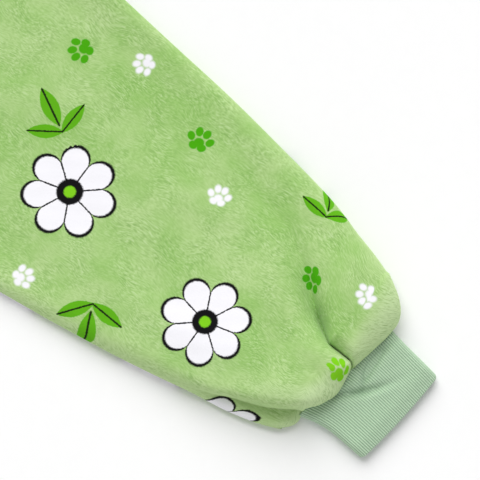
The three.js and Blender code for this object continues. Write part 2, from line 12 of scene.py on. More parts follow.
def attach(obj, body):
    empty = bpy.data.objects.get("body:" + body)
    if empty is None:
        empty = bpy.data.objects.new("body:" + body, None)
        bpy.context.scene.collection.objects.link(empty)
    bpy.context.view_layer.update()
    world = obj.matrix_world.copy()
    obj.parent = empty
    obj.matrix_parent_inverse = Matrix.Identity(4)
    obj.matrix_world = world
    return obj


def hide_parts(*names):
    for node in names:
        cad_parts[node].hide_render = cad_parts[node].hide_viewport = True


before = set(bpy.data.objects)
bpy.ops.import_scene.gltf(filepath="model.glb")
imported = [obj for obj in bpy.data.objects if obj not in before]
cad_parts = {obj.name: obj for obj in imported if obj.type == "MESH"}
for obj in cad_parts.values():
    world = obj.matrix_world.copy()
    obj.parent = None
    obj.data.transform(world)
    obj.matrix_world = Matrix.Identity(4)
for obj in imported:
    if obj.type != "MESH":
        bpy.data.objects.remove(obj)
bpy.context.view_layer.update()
MILLIMETRE = 0.001

bl_info = {
    "name": "Blanket hoodie",
    "version": (1, 0, 0),
    "blender": (4, 5, 0),
    "location": "3D View > Sidebar > Hoodie",
    "description": "Builds a printed plush blanket hoodie with rib cuffs, laid flat",
    "category": "Object",
}


def named_table(columns, *rows):
    """A short table with named columns."""
    return dict(zip(columns.split(), np.array(rows, float).T))


# The body and its rolled edges
HALF_BODY = 400
HEM_Y = -690
UNDERARM_Y = -182
SHOULDER_Y = 169
SHOULDER_SLOPE = 0.104
HALF_NECK = 115
NECK_Y = SHOULDER_Y + SHOULDER_SLOPE * (HALF_BODY - HALF_NECK)
FRONT_NECK_DROP = 85
BACK_NECK_DROP = 20
LAID_TOP = 6.6
ROLL_TOP = 11
ROLL_WIDTH = 8
ROLL_REACH = 46
SEAM_HEIGHT = ROLL_TOP / 2
SEAM_GAP = 0.3
SEAM_EASE = 3

# Dips in the front cloth: along a seam, at a hem's turned edge and along its stitches
SEAM_DIP = {"depth": 1.7, "half_width": 5}
TURNED_EDGE = {"depth": 1.3, "radius": 3.5}
STITCH_LINE = {"depth": 0.8, "half_width": 2.2}
HEM_WIDTH = 22
FACE_HEM_WIDTH = 20

# The pile's unevenness: crossing waves, each swayed by a longer one, with lengths in millimetres
PILE_WAVES = named_table(
    "x y length sway sway_x sway_y sway_length strength",
    (1, 0, 7.1, 1.3, 0, 1, 17.3, 1),
    (0, 1, 6.3, 1.7, 1, 0, 21.1, 1),
    (1, 1, 9.7, 1.1, 1, -1, 13.9, 1),
    (1, -1.4, 4.1, 0, 1, 0, 1, 0.6),
)
# The unevenness starts over these distances from the outline or the side fold, and on the
# sleeve over these values of the squared sine of the turn
PILE_FADE = {"body": (2, 10), "hood": (3, 12), "sleeve": (0, 0.05)}

# The hood
HOOD_TOP_Y = 570
HALF_HOOD = 165
HOOD_WIDEST_Y = 405
HALF_FACE = 82
FACE_TOP_Y = 490
HOOD_SEAM_BEND_Y = 455
HOOD_BEND = 0.42
HOOD_LENGTH = 380
FACE_BOW = 0.8
NECK_FOLLOW = 6
HOOD_FOLD_FADE = {"side": (10, 40), "face": (0, 30), "neck": (0.02, 0.2)}

# The middle of the whole outline, moved to Y = 0
MIDDLE_Y = (HEM_Y + HOOD_TOP_Y) / 2

# Sleeve end and cuff
LIP_START_X = 885
CUFF_START_X = 905.3
CUFF_END_X = 985.6
CUFF_END_SLOPE = 0.08
CUFF_TOP = 13
CUFF_CORNER = {"round": 5, "depth": 2.5, "late": 6}
CUFF_TAPER = {"share": 0.34, "start": 0.8, "end": 1.06}

# Sleeve edges across its length: y of the overarm and underarm folds
SLEEVE_EDGES = named_table(
    "x over under",
    (400, 169, -182),
    (513, 158.4, -163.3),
    (583, 152.3, -151.9),
    (653, 146.4, -141.2),
    (721, 138.4, -129.4),
    (770, 132, -119.2),
    (810, 124.8, -110),
    (840, 116.4, -104.6),
    (865, 110.4, -98),
    (885, 104.4, -90.9),
    (900, 99, -83.8),
    (910, 96, -78),
)

# Sleeve fullness: floor of the creases, rise of the lobes above it, how round each edge is, and
# how much it is rolled at the edges as the flat body is
SLEEVE_FULLNESS = named_table(
    "x floor rise over_round under_round flat",
    (400, 6.6, 0, 8, 8, 1),
    (513, 7.2, 2, 10, 10, 0.9),
    (583, 8.5, 4, 13, 14, 0.6),
    (653, 10, 7, 16, 18, 0.3),
    (721, 11.5, 10, 19, 20, 0.1),
    (770, 13, 13, 22, 20, 0),
    (810, 15, 15.5, 25, 18, 0),
    (840, 16.5, 18, 27, 15, 0),
    (865, 17.6, 19.5, 28, 12, 0),
    (885, 18, 20, 28, 9, 0),
)

# The long crease between the two lobes: its line, depth as a share of the rise, and its half
# widths towards the lower and the upper lobe
LOBE_CREASE = named_table(
    "x y depth lower_width upper_width",
    (690, 96, 0, 34, 34),
    (724, 87, 0.12, 34, 32),
    (779, 78, 0.42, 30, 26),
    (812, 60, 0.7, 26, 19),
    (849, 33, 1.25, 19, 12),
    (866, 22.5, 1.45, 12, 8.5),
    (885, 11, 1.35, 5, 4),
)
CREASE_SQUARENESS = 1.3

# The tuck where the lower lobe lies over the back layer
UNDER_TUCK = named_table(
    "x y depth",
    (795, -110, 0),
    (817, -101.2, 0.6),
    (829, -95.7, 0.9),
    (839, -90.1, 1),
    (855, -83.4, 1),
    (865, -79.6, 1),
    (874, -75.2, 1),
    (882, -70.4, 1),
    (894, -62.3, 1),
    (905, -53.1, 1),
)
TUCK_ROUND = 13
LEDGE_TOP = 11.5

# How far the lobes' rims lean out over the crease and the tuck
CREASE_LEAN = {"lower": 3, "upper": 2.5, "width": 0.8}
TUCK_LEAN = {"reach": 4, "middle": 6, "width": 6}

# How the crown of the sleeve falls off towards its edges, and how the overarm's foot rounds
EDGE_CROWN = 0.8
CROWN_WIDTH = 0.7
OVER_FOOT_ROUND = 14
OVER_FOOT_START_X = 600
SLEEVE_FOLD_FADE = {"edges": (6, 40), "in_crease": 0.8}
# The sleeve's inner face keeps this far inside its two folds
INNER_MARGIN = 0.5

# Where the sleeve ends and its lip begins, by place across: 1 is the overarm fold, -1 the underarm
SLEEVE_END = named_table(
    "across x",
    (-1, 889),
    (-0.95, 891),
    (-0.9, 894),
    (-0.8, 895),
    (-0.71, 895),
    (-0.64, 895),
    (-0.55, 890),
    (-0.42, 886),
    (-0.3, LIP_START_X),
    (-0.2, LIP_START_X),
    (1, LIP_START_X),
)
END_SPREAD_X = 800

# The gathered lip over the cuff, by place across
LIP = named_table(
    "across tip length",
    (-1, 897.5, 4.5),
    (-0.95, 904.5, 9.5),
    (-0.9, 907.8, 10),
    (-0.85, 908.2, 10),
    (-0.8, 907.2, 9),
    (-0.75, 906.4, 7.4),
    (-0.71, 906.2, 7),
    (-0.64, 912.4, 12),
    (-0.55, 917, 21),
    (-0.48, 919.8, 26),
    (-0.42, 921, 29),
    (-0.35, 921.8, 29),
    (-0.2, 920.6, 24),
    (-0.09, 919.4, 15),
    (-0.04, 918.4, 9),
    (0.01, 916.8, 6),
    (0.07, 918.2, 9),
    (0.22, 920.6, 20),
    (0.42, 923, 32),
    (0.75, 926, 40),
    (1, 927, 42),
)
LIP_FOLDS = {"over": (905.5, 20.5), "under": (897.5, 4.5)}
LIP_TURN = math.radians(104)
LIP_REACH = 4
LIP_CLEARANCE = 0.4
LIP_LIFT = 0.32
LIP_FLAT_ZONE = 0.03
LIP_SINK = {"middle": 0.15, "overarm": 0.5, "start": 0.5, "end": 0.9}
LIP_LATE = {"start": 0.5, "end": 0.62, "power": 9}
# The free corner of the back layer below the tuck: where it begins and how high it closes
POUCH = {"start": 0.7, "end": 0.78, "height": 4.5}

# Cuff edges: y of its two folds by distance along the sleeve
CUFF_EDGES = named_table(
    "x over under",
    (905, 64, -63),
    (922, 61.8, -58.4),
    (940, 58.9, -55.8),
    (960, 56.4, -56.2),
    (990, 52.8, -57.6),
)
CUFF_END_BOW = 2

# Soft ridges and troughs: where, which way they run, how long and wide, how high, and their bow
FOLD_COLUMNS = "x y angle half_length half_width height bow"
SLEEVE_FOLDS = named_table(
    FOLD_COLUMNS,
    (816, 18, -28, 52, 20, 3.0, 6),
    (846, -20, -38, 40, 15, -3.4, 4),
    (878, -52, 40, 36, 15, 2.4, -4),
    (742, 84, -24, 48, 17, -2.6, 4),
    (700, 40, 14, 60, 20, 1.8, 8),
    (690, -40, -10, 70, 22, -1.6, -8),
    (610, 70, 20, 76, 24, -1.3, 10),
    (560, -70, -16, 84, 26, 1.4, 9),
    (500, 20, 34, 90, 28, 1.5, -9),
    (760, -70, 12, 60, 18, 1.8, 5),
    (806, 96, -14, 40, 13, -1.8, 3),
    (858, 70, -34, 34, 13, 2.0, 3),
    (892, 84, -50, 20, 8, -1.2, 2),
    (896, -22, -8, 26, 8, -1.5, 3),
)
FRONT_FOLDS = named_table(
    FOLD_COLUMNS,
    (285, -95, 38, 150, 34, 8, 12),
    (250, -240, 62, 170, 38, 6, -14),
    (90, -430, 84, 210, 42, 7, 16),
    (300, -500, 97, 180, 36, 6, -10),
    (180, 40, 20, 90, 24, 2.5, 8),
    (210, -380, 74, 120, 22, -2, 8),
    (340, -330, 88, 110, 20, 2.6, -8),
    (160, -160, 50, 110, 24, -2, 10),
    (30, -250, 92, 150, 26, 2.4, 8),
    (200, -610, 88, 60, 20, 2.4, 4),
)
HOOD_FOLDS = named_table(
    FOLD_COLUMNS,
    (120, 260, 76, 90, 15, 2.2, 8),
    (132, 400, 96, 80, 13, -1.6, -6),
    (96, 500, 128, 70, 14, 2.0, 6),
    (60, 160, 24, 50, 14, 1.6, 5),
)
CUFF_CREASES = named_table(
    FOLD_COLUMNS,
    (931, 20, 98, 23, 4, -6, -4),
    (941, -4.5, 50, 29, 4.5, -6, 3),
    (922, 40, 78, 14, 6, -1.2, 2),
    (951, 7, 55, 24, 8, 1.6, 3),
    (942, 34, 96, 20, 8, 1.2, 2),
)
# The front's folds rise over these distances from its outline
FOLD_FADE = (20, 90)
# The wearer's right of the front has its folds a little closer in
RIGHT_FOLDS = {"start_x": -40, "closer": 1.06}
# Creases bend the cuff above these shares of its height
CREASED_HEIGHT = (0.4, 0.8)
# How far the painted shade of the rib gaps spreads over the ribs, as painted crease shade, for each
# millimetre of a crease, and at most
CREASE_PAINTED_SHADE = {"each": 0.11, "most": 0.6}

# Patches where the sleeve's nap is painted paler or darker than around them: some are the nap's own
# uneven tone, the dark ones along the crease and in the lower lobe's hollow are painted shade, and the
# pale ones on the lobes' crests are painted highlight
NAP_AND_PAINTED_LIGHT_PATCHES = named_table(
    FOLD_COLUMNS,
    (472, 104, 10, 48, 26, 0.6, 6),
    (602, 100, 20, 42, 24, -0.8, 5),
    (755, 83, -8, 44, 12, -0.6, 4),
    (654, 1, 30, 34, 18, 0.4, 6),
    (742, 20, -14, 48, 20, 0.35, 8),
    (820, 17, -30, 32, 13, 0.5, 4),
    (822, -34, -20, 30, 15, -0.5, 4),
    (853, -15, -38, 28, 12, -0.6, 3),
    (864, 27, -30, 22, 8, -1.4, 2),
    (896, 88, -52, 44, 18, 0.45, -4),
    (628, -96, 12, 40, 18, 0.4, 5),
    (540, -30, 40, 50, 24, -0.3, 8),
)
# Painted sheen: paler nap along the underarm and overarm folds, where the cloth turns over its edges
EDGE_PAINTED_SHEEN = {"under": 1.0, "under_reach": 17, "over": 0.2, "over_reach": 10}
# Painted sheen: paler nap along the lower lobe beside the tuck, and over the lip, which face away from
# the light
LOW_PAINTED_SHEEN = {"amount": 1.0, "from_tuck": 16, "width": 18, "along": (780, 900)}
LIP_PAINTED_SHEEN = {"amount": 1.45, "along": (884, 916)}

# One repeat of the print: place along and across the cloth, motif, turn in degrees, radius
PRINT_REPEAT = (600, 470)
PAW_GREEN, PAW_WHITE, PAW_BRIGHT, BLOSSOM, SPRIG = 1, 2, 3, 4, 5
PRINT_CHART = (
    (506.5, 97, PAW_GREEN, 153, 15),
    (566, 122.5, PAW_WHITE, 151, 13),
    (658.5, 92.5, PAW_GREEN, 13, 15),
    (709, 58, PAW_WHITE, 18, 13),
    (605, -122, PAW_WHITE, -40, 13),
    (834.5, 53, PAW_GREEN, 165, 15),
    (887, 99, PAW_WHITE, 154, 13),
    (908, -13.5, PAW_BRIGHT, 38, 14),
    (588, -26, BLOSSOM, 15, 50),
    (776, -52, BLOSSOM, 40, 47),
    (478, 196, BLOSSOM, 80, 46),
    (930, 205, BLOSSOM, 10, 46),
    (500, -128, SPRIG, 150, 36),
    (530, 26, SPRIG, 62, 36),
    (742, 158, SPRIG, -28, 36),
    (684, -118, SPRIG, 205, 38),
    (800, 118, SPRIG, 24, 32),
    (966, -112, SPRIG, 100, 34),
    (852, -152, BLOSSOM, 60, 44),
    (640, 208, PAW_GREEN, 200, 15),
    (768, -196, PAW_WHITE, 80, 13),
    (966, 30, PAW_GREEN, 10, 15),
    (560, -205, PAW_GREEN, 320, 15),
)
# How softly the pile blurs each printed edge, as a share of the motif's radius
PRINT_EDGE = {"paw": 0.16, "white_paw": 0.42, "blossom": 0.02, "leaf": 0.06, "midrib": 0.05}
# A blossom's parts, as shares of its radius: its petals reach from the root by their own length
BLOSSOM_SHAPE = {
    "petals": 7, "root": 0.62, "petal": 0.36, "fullness": 0.55,
    "edge": 0.075, "parting": 0.055, "eye": 0.27, "middle": 0.12,
}
# A paw's pad, its lower lobe, its inner toe and its outer toe, and a sprig's leaves: where the
# middle of each is, its half sizes and its turn in degrees, as drawn on one side
PAW_PARTS = (
    (0, -0.2, 0.36, 0.34, 0),
    (0.3, -0.47, 0.31, 0.27, 25),
    (0.27, 0.52, 0.26, 0.33, -14),
    (0.67, 0.07, 0.25, 0.32, -36),
)
LEAVES = {"upright": (0, 0.35, 0.62, 0.24, 0), "leaning": (0.42, -0.22, 0.52, 0.2, -62)}
MIDRIB_WIDTH = 0.12
# One stitch of the rib knit, in metres as the cut cloth is
STITCH_LENGTH = 1.6 * MILLIMETRE

# A noise colour's middle value, which is taken off it where it moves a pattern
NOISE_MIDDLE = (0.5, 0.5, 0.5)

# How finely each form is drawn: columns and rows as from, to and how many, or as a number
EDGE_STEPS = (0, 0.15, 0.5, 1, 1.8, 3, 4.6, 6.4, 8.5)
INNER_STEP = 3
TOP_STEP = 2
BODY_COLUMNS = ((11, 285, 57), (290, HALF_BODY, 25))
BODY_ROWS = {"below_underarm": 103, "above_underarm": 71}
SLEEVE_COLUMNS = {"top": 222, "under": 60}
SLEEVE_STARTS = (0.3, 1, 2.2, 4, 6, 8.5, 11)
SLEEVE_ROWS = ((414, 780, 122), (781.4, LIP_START_X, 77))
LIP_ROWS = {"approach": 9, "rolled": 31}
CUFF_ROWS = {"outside": 40, "folded": 9, "inside": 6}
POINTS_A_RIB = 8
HOOD_ROWS = 91
HOOD_COLUMNS = 49
FINE_ZONES = {"crease": (1.42, 0.2, 1.3), "tuck": (2.35, 0.25, 0.9)}

# The stage, in metres. Each light has its strength, its spread in degrees, and where it comes
# from: along the picture's right, towards its top and straight up
CAMERA_TURN = math.radians(38.2)
CAMERA_TILT = math.radians(6)
CAMERA_DISTANCE = 2.2
SENSOR_WIDTH = 36
VIEW_WIDTH = 0.48
VIEW_CENTRE = Vector((0.7511, 0.099, 0.004))
FLOOR_DROP = 0.0004
SKY_STRENGTH = 0.4
LIGHTS = (
    ("key", 2.75, 55, (-0.15, 0.9, 0.75)),
    ("fill", 0.5, 45, (0.1, -1, 0.3)),
)


def hex_colour(text):
    """An sRGB hex value as a linear colour."""
    values = [int(text[start:start + 2], 16) / 255 for start in (1, 3, 5)]
    linear = [
        value / 12.92 if value <= 0.04045 else ((value + 0.055) / 1.055) ** 2.4
        for value in values
    ]
    return (*linear, 1.0)


def mix(start, end, share):
    """The value at a share of the way from start to end."""
    return start + (end - start) * share


def smooth_step(value, start, end):
    """An eased share of the way from start to end, kept within 0 and 1."""
    share = np.clip((value - start) / (end - start), 0, 1)
    return share * share * (3 - 2 * share)


def quarter_rise(distance, radius):
    """A quarter of a circle's rise, from 0 at an edge to 1 at the end of its rounding."""
    short = 1 - np.clip(distance / radius, 0, 1)
    return np.sqrt(np.maximum(0, 1 - short * short))


def read(table, column, at):
    """A smooth curve through one column of a table, by the table's first column."""
    keys = next(iter(table.values()))
    values = table[column]
    last = len(keys) - 1
    place = np.clip(at, keys[0], keys[last])
    row = np.clip(np.searchsorted(keys, place) - 1, 0, last - 1)
    before = np.maximum(np.arange(last + 1) - 1, 0)
    after = np.minimum(np.arange(last + 1) + 1, last)
    slopes = (values[after] - values[before]) / (keys[after] - keys[before])
    span = keys[row + 1] - keys[row]
    share = (place - keys[row]) / span
    start_pull = slopes[row] * span
    end_pull = slopes[row + 1] * span
    change = values[row + 1] - values[row]
    bend = 3 * change - 2 * start_pull - end_pull
    twist = start_pull + end_pull - 2 * change
    return values[row] + share * (start_pull + share * (bend + share * twist))


def fold_height(folds, x, y):
    """The summed height of a table of soft ridges and troughs at each place."""
    height = np.zeros(np.broadcast(x, y).shape)
    for place_x, place_y, angle, half_length, half_width, rise, bow in zip(*folds.values()):
        turn = math.radians(angle)
        along = (x - place_x) * math.cos(turn) + (y - place_y) * math.sin(turn)
        aside = (y - place_y) * math.cos(turn) - (x - place_x) * math.sin(turn)
        aside = aside - bow * (along / half_length) ** 2
        height += rise * np.exp(-((along / half_length) ** 2) - (aside / half_width) ** 2)
    return height


def front_top(distance):
    """The height of flat-laid front cloth, rolled at its sewn outline."""
    level = mix(ROLL_TOP, LAID_TOP, smooth_step(distance, ROLL_WIDTH, ROLL_REACH))
    return SEAM_HEIGHT + (level - SEAM_HEIGHT) * quarter_rise(distance, ROLL_WIDTH)


def back_under(distance):
    """The height of the back cloth's outer face, rolled up to the seam at the outline."""
    return SEAM_HEIGHT * (1 - quarter_rise(distance, ROLL_WIDTH))


def pile_lumps(x, y, height):
    """The gentle unevenness of brushed pile at each place."""
    waves = 0
    for part_x, part_y, length, sway, sway_x, sway_y, sway_length, strength in zip(
        *PILE_WAVES.values()
    ):
        swayed = sway * np.sin((sway_x * x + sway_y * y) / sway_length)
        waves = waves + strength * np.sin((part_x * x + part_y * y) / length + swayed)
    return height * waves / PILE_WAVES["strength"].sum()


def seam_dip(distance):
    """How deep the cloth is drawn in beside a seam."""
    return SEAM_DIP["depth"] * np.exp(-((distance / SEAM_DIP["half_width"]) ** 2))


def hem_dip(distance, hem_width):
    """How deep a hem's turned edge and its line of stitches lie."""
    turned = TURNED_EDGE["depth"] * (1 - quarter_rise(distance, TURNED_EDGE["radius"]))
    from_stitches = (distance - hem_width) / STITCH_LINE["half_width"]
    return turned + STITCH_LINE["depth"] * np.exp(-(from_stitches ** 2))


def grid_normals(grid, wrapped):
    """The direction square to a grid at each of its points, by the right hand from columns to rows."""
    if wrapped:
        across = np.roll(grid, -1, 1) - np.roll(grid, 1, 1)
    else:
        across = np.gradient(grid, axis=1)
    normals = np.cross(across, np.gradient(grid, axis=0))
    return normals / np.maximum(np.linalg.norm(normals, axis=2, keepdims=True), 1e-9)


def facing(normals, column, upward=True):
    """The normals, turned round where the middle of a column doesn't face up or down as it should."""
    is_up = normals[len(normals) // 2, column, 2] > 0
    return normals if is_up == upward else -normals


def grid_quads(ids):
    """The four corners of each cell of a grid."""
    return np.stack([ids[:-1, :-1], ids[:-1, 1:], ids[1:, 1:], ids[1:, :-1]], -1).reshape(-1, 4)


def rim_faces(fine, coarse):
    """Joins a finely divided rim to one with fewer points."""
    faces = []
    per = (len(fine) - 1) // (len(coarse) - 1)
    half = per // 2
    for index in range(len(coarse) - 1):
        start = index * per
        for step in range(per):
            corner = coarse[index if step < half else index + 1]
            faces.append((fine[start + step], fine[start + step + 1], corner))
        faces.append((coarse[index], fine[start + half], coarse[index + 1]))
    return faces


def cloth_wall(outer, inner, places, wrapped):
    """A closed wall of two grids: its points, faces, each corner's point and its place on the cut
    cloth, and which faces carry the print.

    The places have one column more than a wrapped grid, where the cloth's two sides meet.
    """
    rows, columns = places.shape[:2]
    if (rows - 1) % INNER_STEP or (columns - 1) % INNER_STEP:
        raise ValueError(f"{rows} rows and {columns} columns don't divide for the inner face")
    outer_ids = np.arange(rows * columns).reshape(rows, columns)
    coarse = places[::INNER_STEP, ::INNER_STEP]
    inner_ids = outer_ids.size + np.arange(coarse[..., 0].size).reshape(coarse.shape[:2])
    point_rows, point_columns = outer.shape[:2]
    row, column = np.indices((rows, columns))
    outer_points = row * point_columns + column % point_columns
    inner_row, inner_column = np.indices(inner_ids.shape)
    inner_columns = inner.shape[1]
    inner_points = point_rows * point_columns + inner_row * inner_columns
    inner_points = inner_points + inner_column % inner_columns
    point_of = np.concatenate([outer_points.ravel(), inner_points.ravel()])
    faces = grid_quads(outer_ids).tolist()
    printed_count = len(faces)
    faces += grid_quads(inner_ids)[:, ::-1].tolist()
    rims = [
        (outer_ids[0], inner_ids[0], False),
        (outer_ids[-1], inner_ids[-1], True),
    ]
    if not wrapped:
        rims += [
            (outer_ids[:, 0], inner_ids[:, 0], True),
            (outer_ids[:, -1], inner_ids[:, -1], False),
        ]
    for fine, coarse_rim, flip in rims:
        joined = rim_faces(fine.tolist(), coarse_rim.tolist())
        faces += [face[::-1] for face in joined] if not flip else joined
    points = np.concatenate([outer.reshape(-1, 3), inner.reshape(-1, 3)])
    cut = np.concatenate([places.reshape(-1, 2), coarse.reshape(-1, 2)])
    return points, faces, point_of, cut, np.arange(len(faces)) < printed_count


def print_places(corner_cut, face_sizes, shift):
    """Each corner's place in the nearest motif, with that motif's kind by face."""
    starts = np.concatenate([[0], np.cumsum(face_sizes)[:-1]])
    centres = np.add.reduceat(corner_cut, starts, axis=0) / face_sizes[:, None]
    repeat = np.array(PRINT_REPEAT, float)
    best = np.full(len(centres), np.inf)
    kinds = np.zeros(len(centres))
    turns = np.zeros(len(centres))
    sizes = np.ones(len(centres))
    origins = np.zeros_like(centres)
    for u, v, kind, turn, radius in PRINT_CHART:
        away = centres - shift - (u, v)
        away = (away + repeat / 2) % repeat - repeat / 2
        distance = np.linalg.norm(away, axis=1) / radius
        nearer = distance < best
        best[nearer] = distance[nearer]
        kinds[nearer] = kind
        turns[nearer] = math.radians(turn)
        sizes[nearer] = radius
        origins[nearer] = (centres - away)[nearer]
    face_of = np.repeat(np.arange(len(face_sizes)), face_sizes)
    local = (corner_cut - origins[face_of]) / sizes[face_of][:, None]
    cosine, sine = np.cos(turns[face_of]), np.sin(turns[face_of])
    turned = np.stack([
        local[:, 0] * cosine + local[:, 1] * sine,
        local[:, 1] * cosine - local[:, 0] * sine,
    ], -1)
    return turned, kinds


def make_piece(name, wall, mirrored, shift, **by_point):
    """A mesh piece in metres from a wall in millimetres, mirrored for the wearer's right, with
    the values that its material reads at each point.
    """
    points, faces, point_of, cut, printed = wall
    points = points.copy()
    points[:, 1] -= MIDDLE_Y
    if mirrored:
        points[:, 0] *= -1
    sizes = np.array([len(face) for face in faces])
    corner_ids = np.concatenate([np.asarray(face) for face in faces])
    corners = point_of[corner_ids]
    starts = np.concatenate([[0], np.cumsum(sizes)[:-1]])
    a, b, c = (points[corners[starts + step]] for step in range(3))
    inside_out = np.einsum("ij,ij->i", a, np.cross(b, c)).sum() < 0
    if inside_out:
        faces = [face[::-1] for face in faces]
        corner_ids = np.concatenate([np.asarray(face) for face in faces])
    mesh = bpy.data.meshes.new(name)
    mesh.from_pydata(points * MILLIMETRE, [], [point_of[list(face)].tolist() for face in faces])
    corner_cut = cut[corner_ids]
    mesh.uv_layers.new(name="cut").data.foreach_set("uv", (corner_cut * MILLIMETRE).ravel())
    local, kinds = print_places(corner_cut, sizes, np.array(shift, float))
    kinds = kinds * printed
    mesh.uv_layers.new(name="print_place").data.foreach_set("uv", local.ravel())
    mesh.attributes.new("print_kind", "FLOAT", "FACE").data.foreach_set("value", kinds)
    for attribute, values in by_point.items():
        data = mesh.attributes.new(attribute, "FLOAT", "POINT").data
        data.foreach_set("value", values + np.zeros(len(points)))
    mesh.shade_smooth()
    mesh.update()
    piece = bpy.data.objects.new(name, mesh)
    bpy.context.scene.collection.objects.link(piece)
    return piece


def outline_distance(x, y):
    """Distance from the sewn outline of the body."""
    side = np.abs(x)
    run = np.array([HALF_NECK - HALF_BODY, NECK_Y - SHOULDER_Y], float)
    from_shoulder = np.stack([side - HALF_BODY, y - SHOULDER_Y], -1)
    share = np.clip(from_shoulder @ run / (run @ run), 0, 1)
    to_side = np.stack([side - HALF_BODY, y - np.minimum(y, UNDERARM_Y)], -1)
    to_shoulder = from_shoulder - share[..., None] * run
    return np.minimum(np.linalg.norm(to_side, axis=-1), np.linalg.norm(to_shoulder, axis=-1))


def body_top(x, neck_drop):
    """The y of a body panel's top edge: the shoulder line, or the neckline between the shoulders."""
    side = np.abs(x)
    shoulder = SHOULDER_Y + SHOULDER_SLOPE * (HALF_BODY - side)
    neckline = NECK_Y - neck_drop * (1 - (np.minimum(side, HALF_NECK) / HALF_NECK) ** 2)
    return np.where(side >= HALF_NECK, shoulder, neckline)


def body_panel(is_front, wall, lumps_height):
    """The front or back panel, from side seam to side seam and hem to neck."""
    neck_drop = FRONT_NECK_DROP if is_front else BACK_NECK_DROP
    steps = np.concatenate([EDGE_STEPS, *(np.linspace(*zone) for zone in BODY_COLUMNS)])
    half = HALF_BODY - steps
    x = np.concatenate([half, -half[:-1][::-1]])[None, :]
    top = body_top(x, neck_drop)
    rise = np.linspace(0, 1, BODY_ROWS["below_underarm"])[:, None]
    lower = mix(HEM_Y, UNDERARM_Y, rise) + 0 * x
    near_top = np.array(EDGE_STEPS)[::-1][:, None]
    share = np.linspace(0, 1, BODY_ROWS["above_underarm"])[1:-1][:, None]
    upper = mix(UNDERARM_Y, top - EDGE_STEPS[-1] - TOP_STEP, share)
    y = np.concatenate([lower, upper, top - near_top])
    x = x + 0 * y
    distance = outline_distance(x, y)
    from_hem = y - HEM_Y
    from_neck = top - y
    from_armhole = HALF_BODY - np.abs(x)
    nearest = np.minimum(distance, np.minimum(from_neck, from_armhole))
    clear = smooth_step(nearest, *FOLD_FADE)
    half_gap = 0.5 * SEAM_GAP * (1 - smooth_step(distance, 0, SEAM_EASE))
    if is_front:
        closer = np.where(x > RIGHT_FOLDS["start_x"], 1, RIGHT_FOLDS["closer"])
        folds = fold_height(FRONT_FOLDS, np.abs(x) * closer, y)
        z = front_top(distance) + half_gap + clear * folds
    else:
        z = back_under(distance) - half_gap
    outer = np.stack([x, y, z], -1)
    normals = facing(grid_normals(outer, False), outer.shape[1] // 2, is_front)
    # The wall is built straight in from the side seams, and keeps its Y at the neckline
    on_side = np.zeros_like(x, bool)
    on_side[:, 0] = on_side[:, -1] = True
    on_side &= y <= UNDERARM_Y + 0.1
    normals[on_side] = np.stack([np.sign(x), 0 * x, 0 * x], -1)[on_side]
    in_neck = np.abs(x[-1]) < HALF_NECK
    normals[-1, in_neck, 1] = 0
    inner = (outer - wall * normals)[::INNER_STEP, ::INNER_STEP]
    if is_front:
        from_seam = np.minimum(from_neck, np.where(y > UNDERARM_Y, from_armhole, np.inf))
        dip = seam_dip(from_seam) + hem_dip(from_hem, HEM_WIDTH)
        lumps = pile_lumps(x, y, lumps_height) * smooth_step(distance, *PILE_FADE["body"])
        outer = outer + (lumps - dip)[..., None] * normals
    return cloth_wall(outer, inner, np.stack([y, x], -1), False)


def sleeve_top(x, y, from_over, from_under):
    """Top of the sleeve's front cloth."""
    flat = read(SLEEVE_FULLNESS, "flat", x)
    floor = read(SLEEVE_FULLNESS, "floor", x)
    rise = read(SLEEVE_FULLNESS, "rise", x)
    nearest = np.minimum(from_over, from_under)
    roll = (ROLL_TOP - LAID_TOP) * flat * (1 - smooth_step(nearest, ROLL_WIDTH, ROLL_REACH))
    creased = np.exp(-(np.abs(crease_place(x, y)) ** CREASE_SQUARENESS))
    creased = creased * read(LOBE_CREASE, "depth", x)
    tuck_depth = np.clip(read(UNDER_TUCK, "depth", x), 0, 1)
    from_tuck = y - read(UNDER_TUCK, "y", x)
    tucked = tuck_depth * (1 - quarter_rise(from_tuck, TUCK_ROUND))
    half_width = 0.5 * (from_over + from_under)
    dome = mix(EDGE_CROWN, 1, smooth_step(nearest / half_width, 0, CROWN_WIDTH))
    clear = smooth_step(nearest, *SLEEVE_FOLD_FADE["edges"])
    clear = clear * (1 - SLEEVE_FOLD_FADE["in_crease"] * np.clip(creased, 0, 1))
    folds = fold_height(SLEEVE_FOLDS, x, y) * clear
    lobes = floor + roll + rise * dome * (1 - creased) + folds
    return mix(lobes, np.minimum(lobes, LEDGE_TOP), tucked)


def crease_place(x, y):
    """How far a point lies from the crease's line, as a share of its half width on that side."""
    aside = y - read(LOBE_CREASE, "y", x)
    lower = aside / read(LOBE_CREASE, "lower_width", x)
    upper = aside / read(LOBE_CREASE, "upper_width", x)
    return np.where(aside < 0, lower, upper)


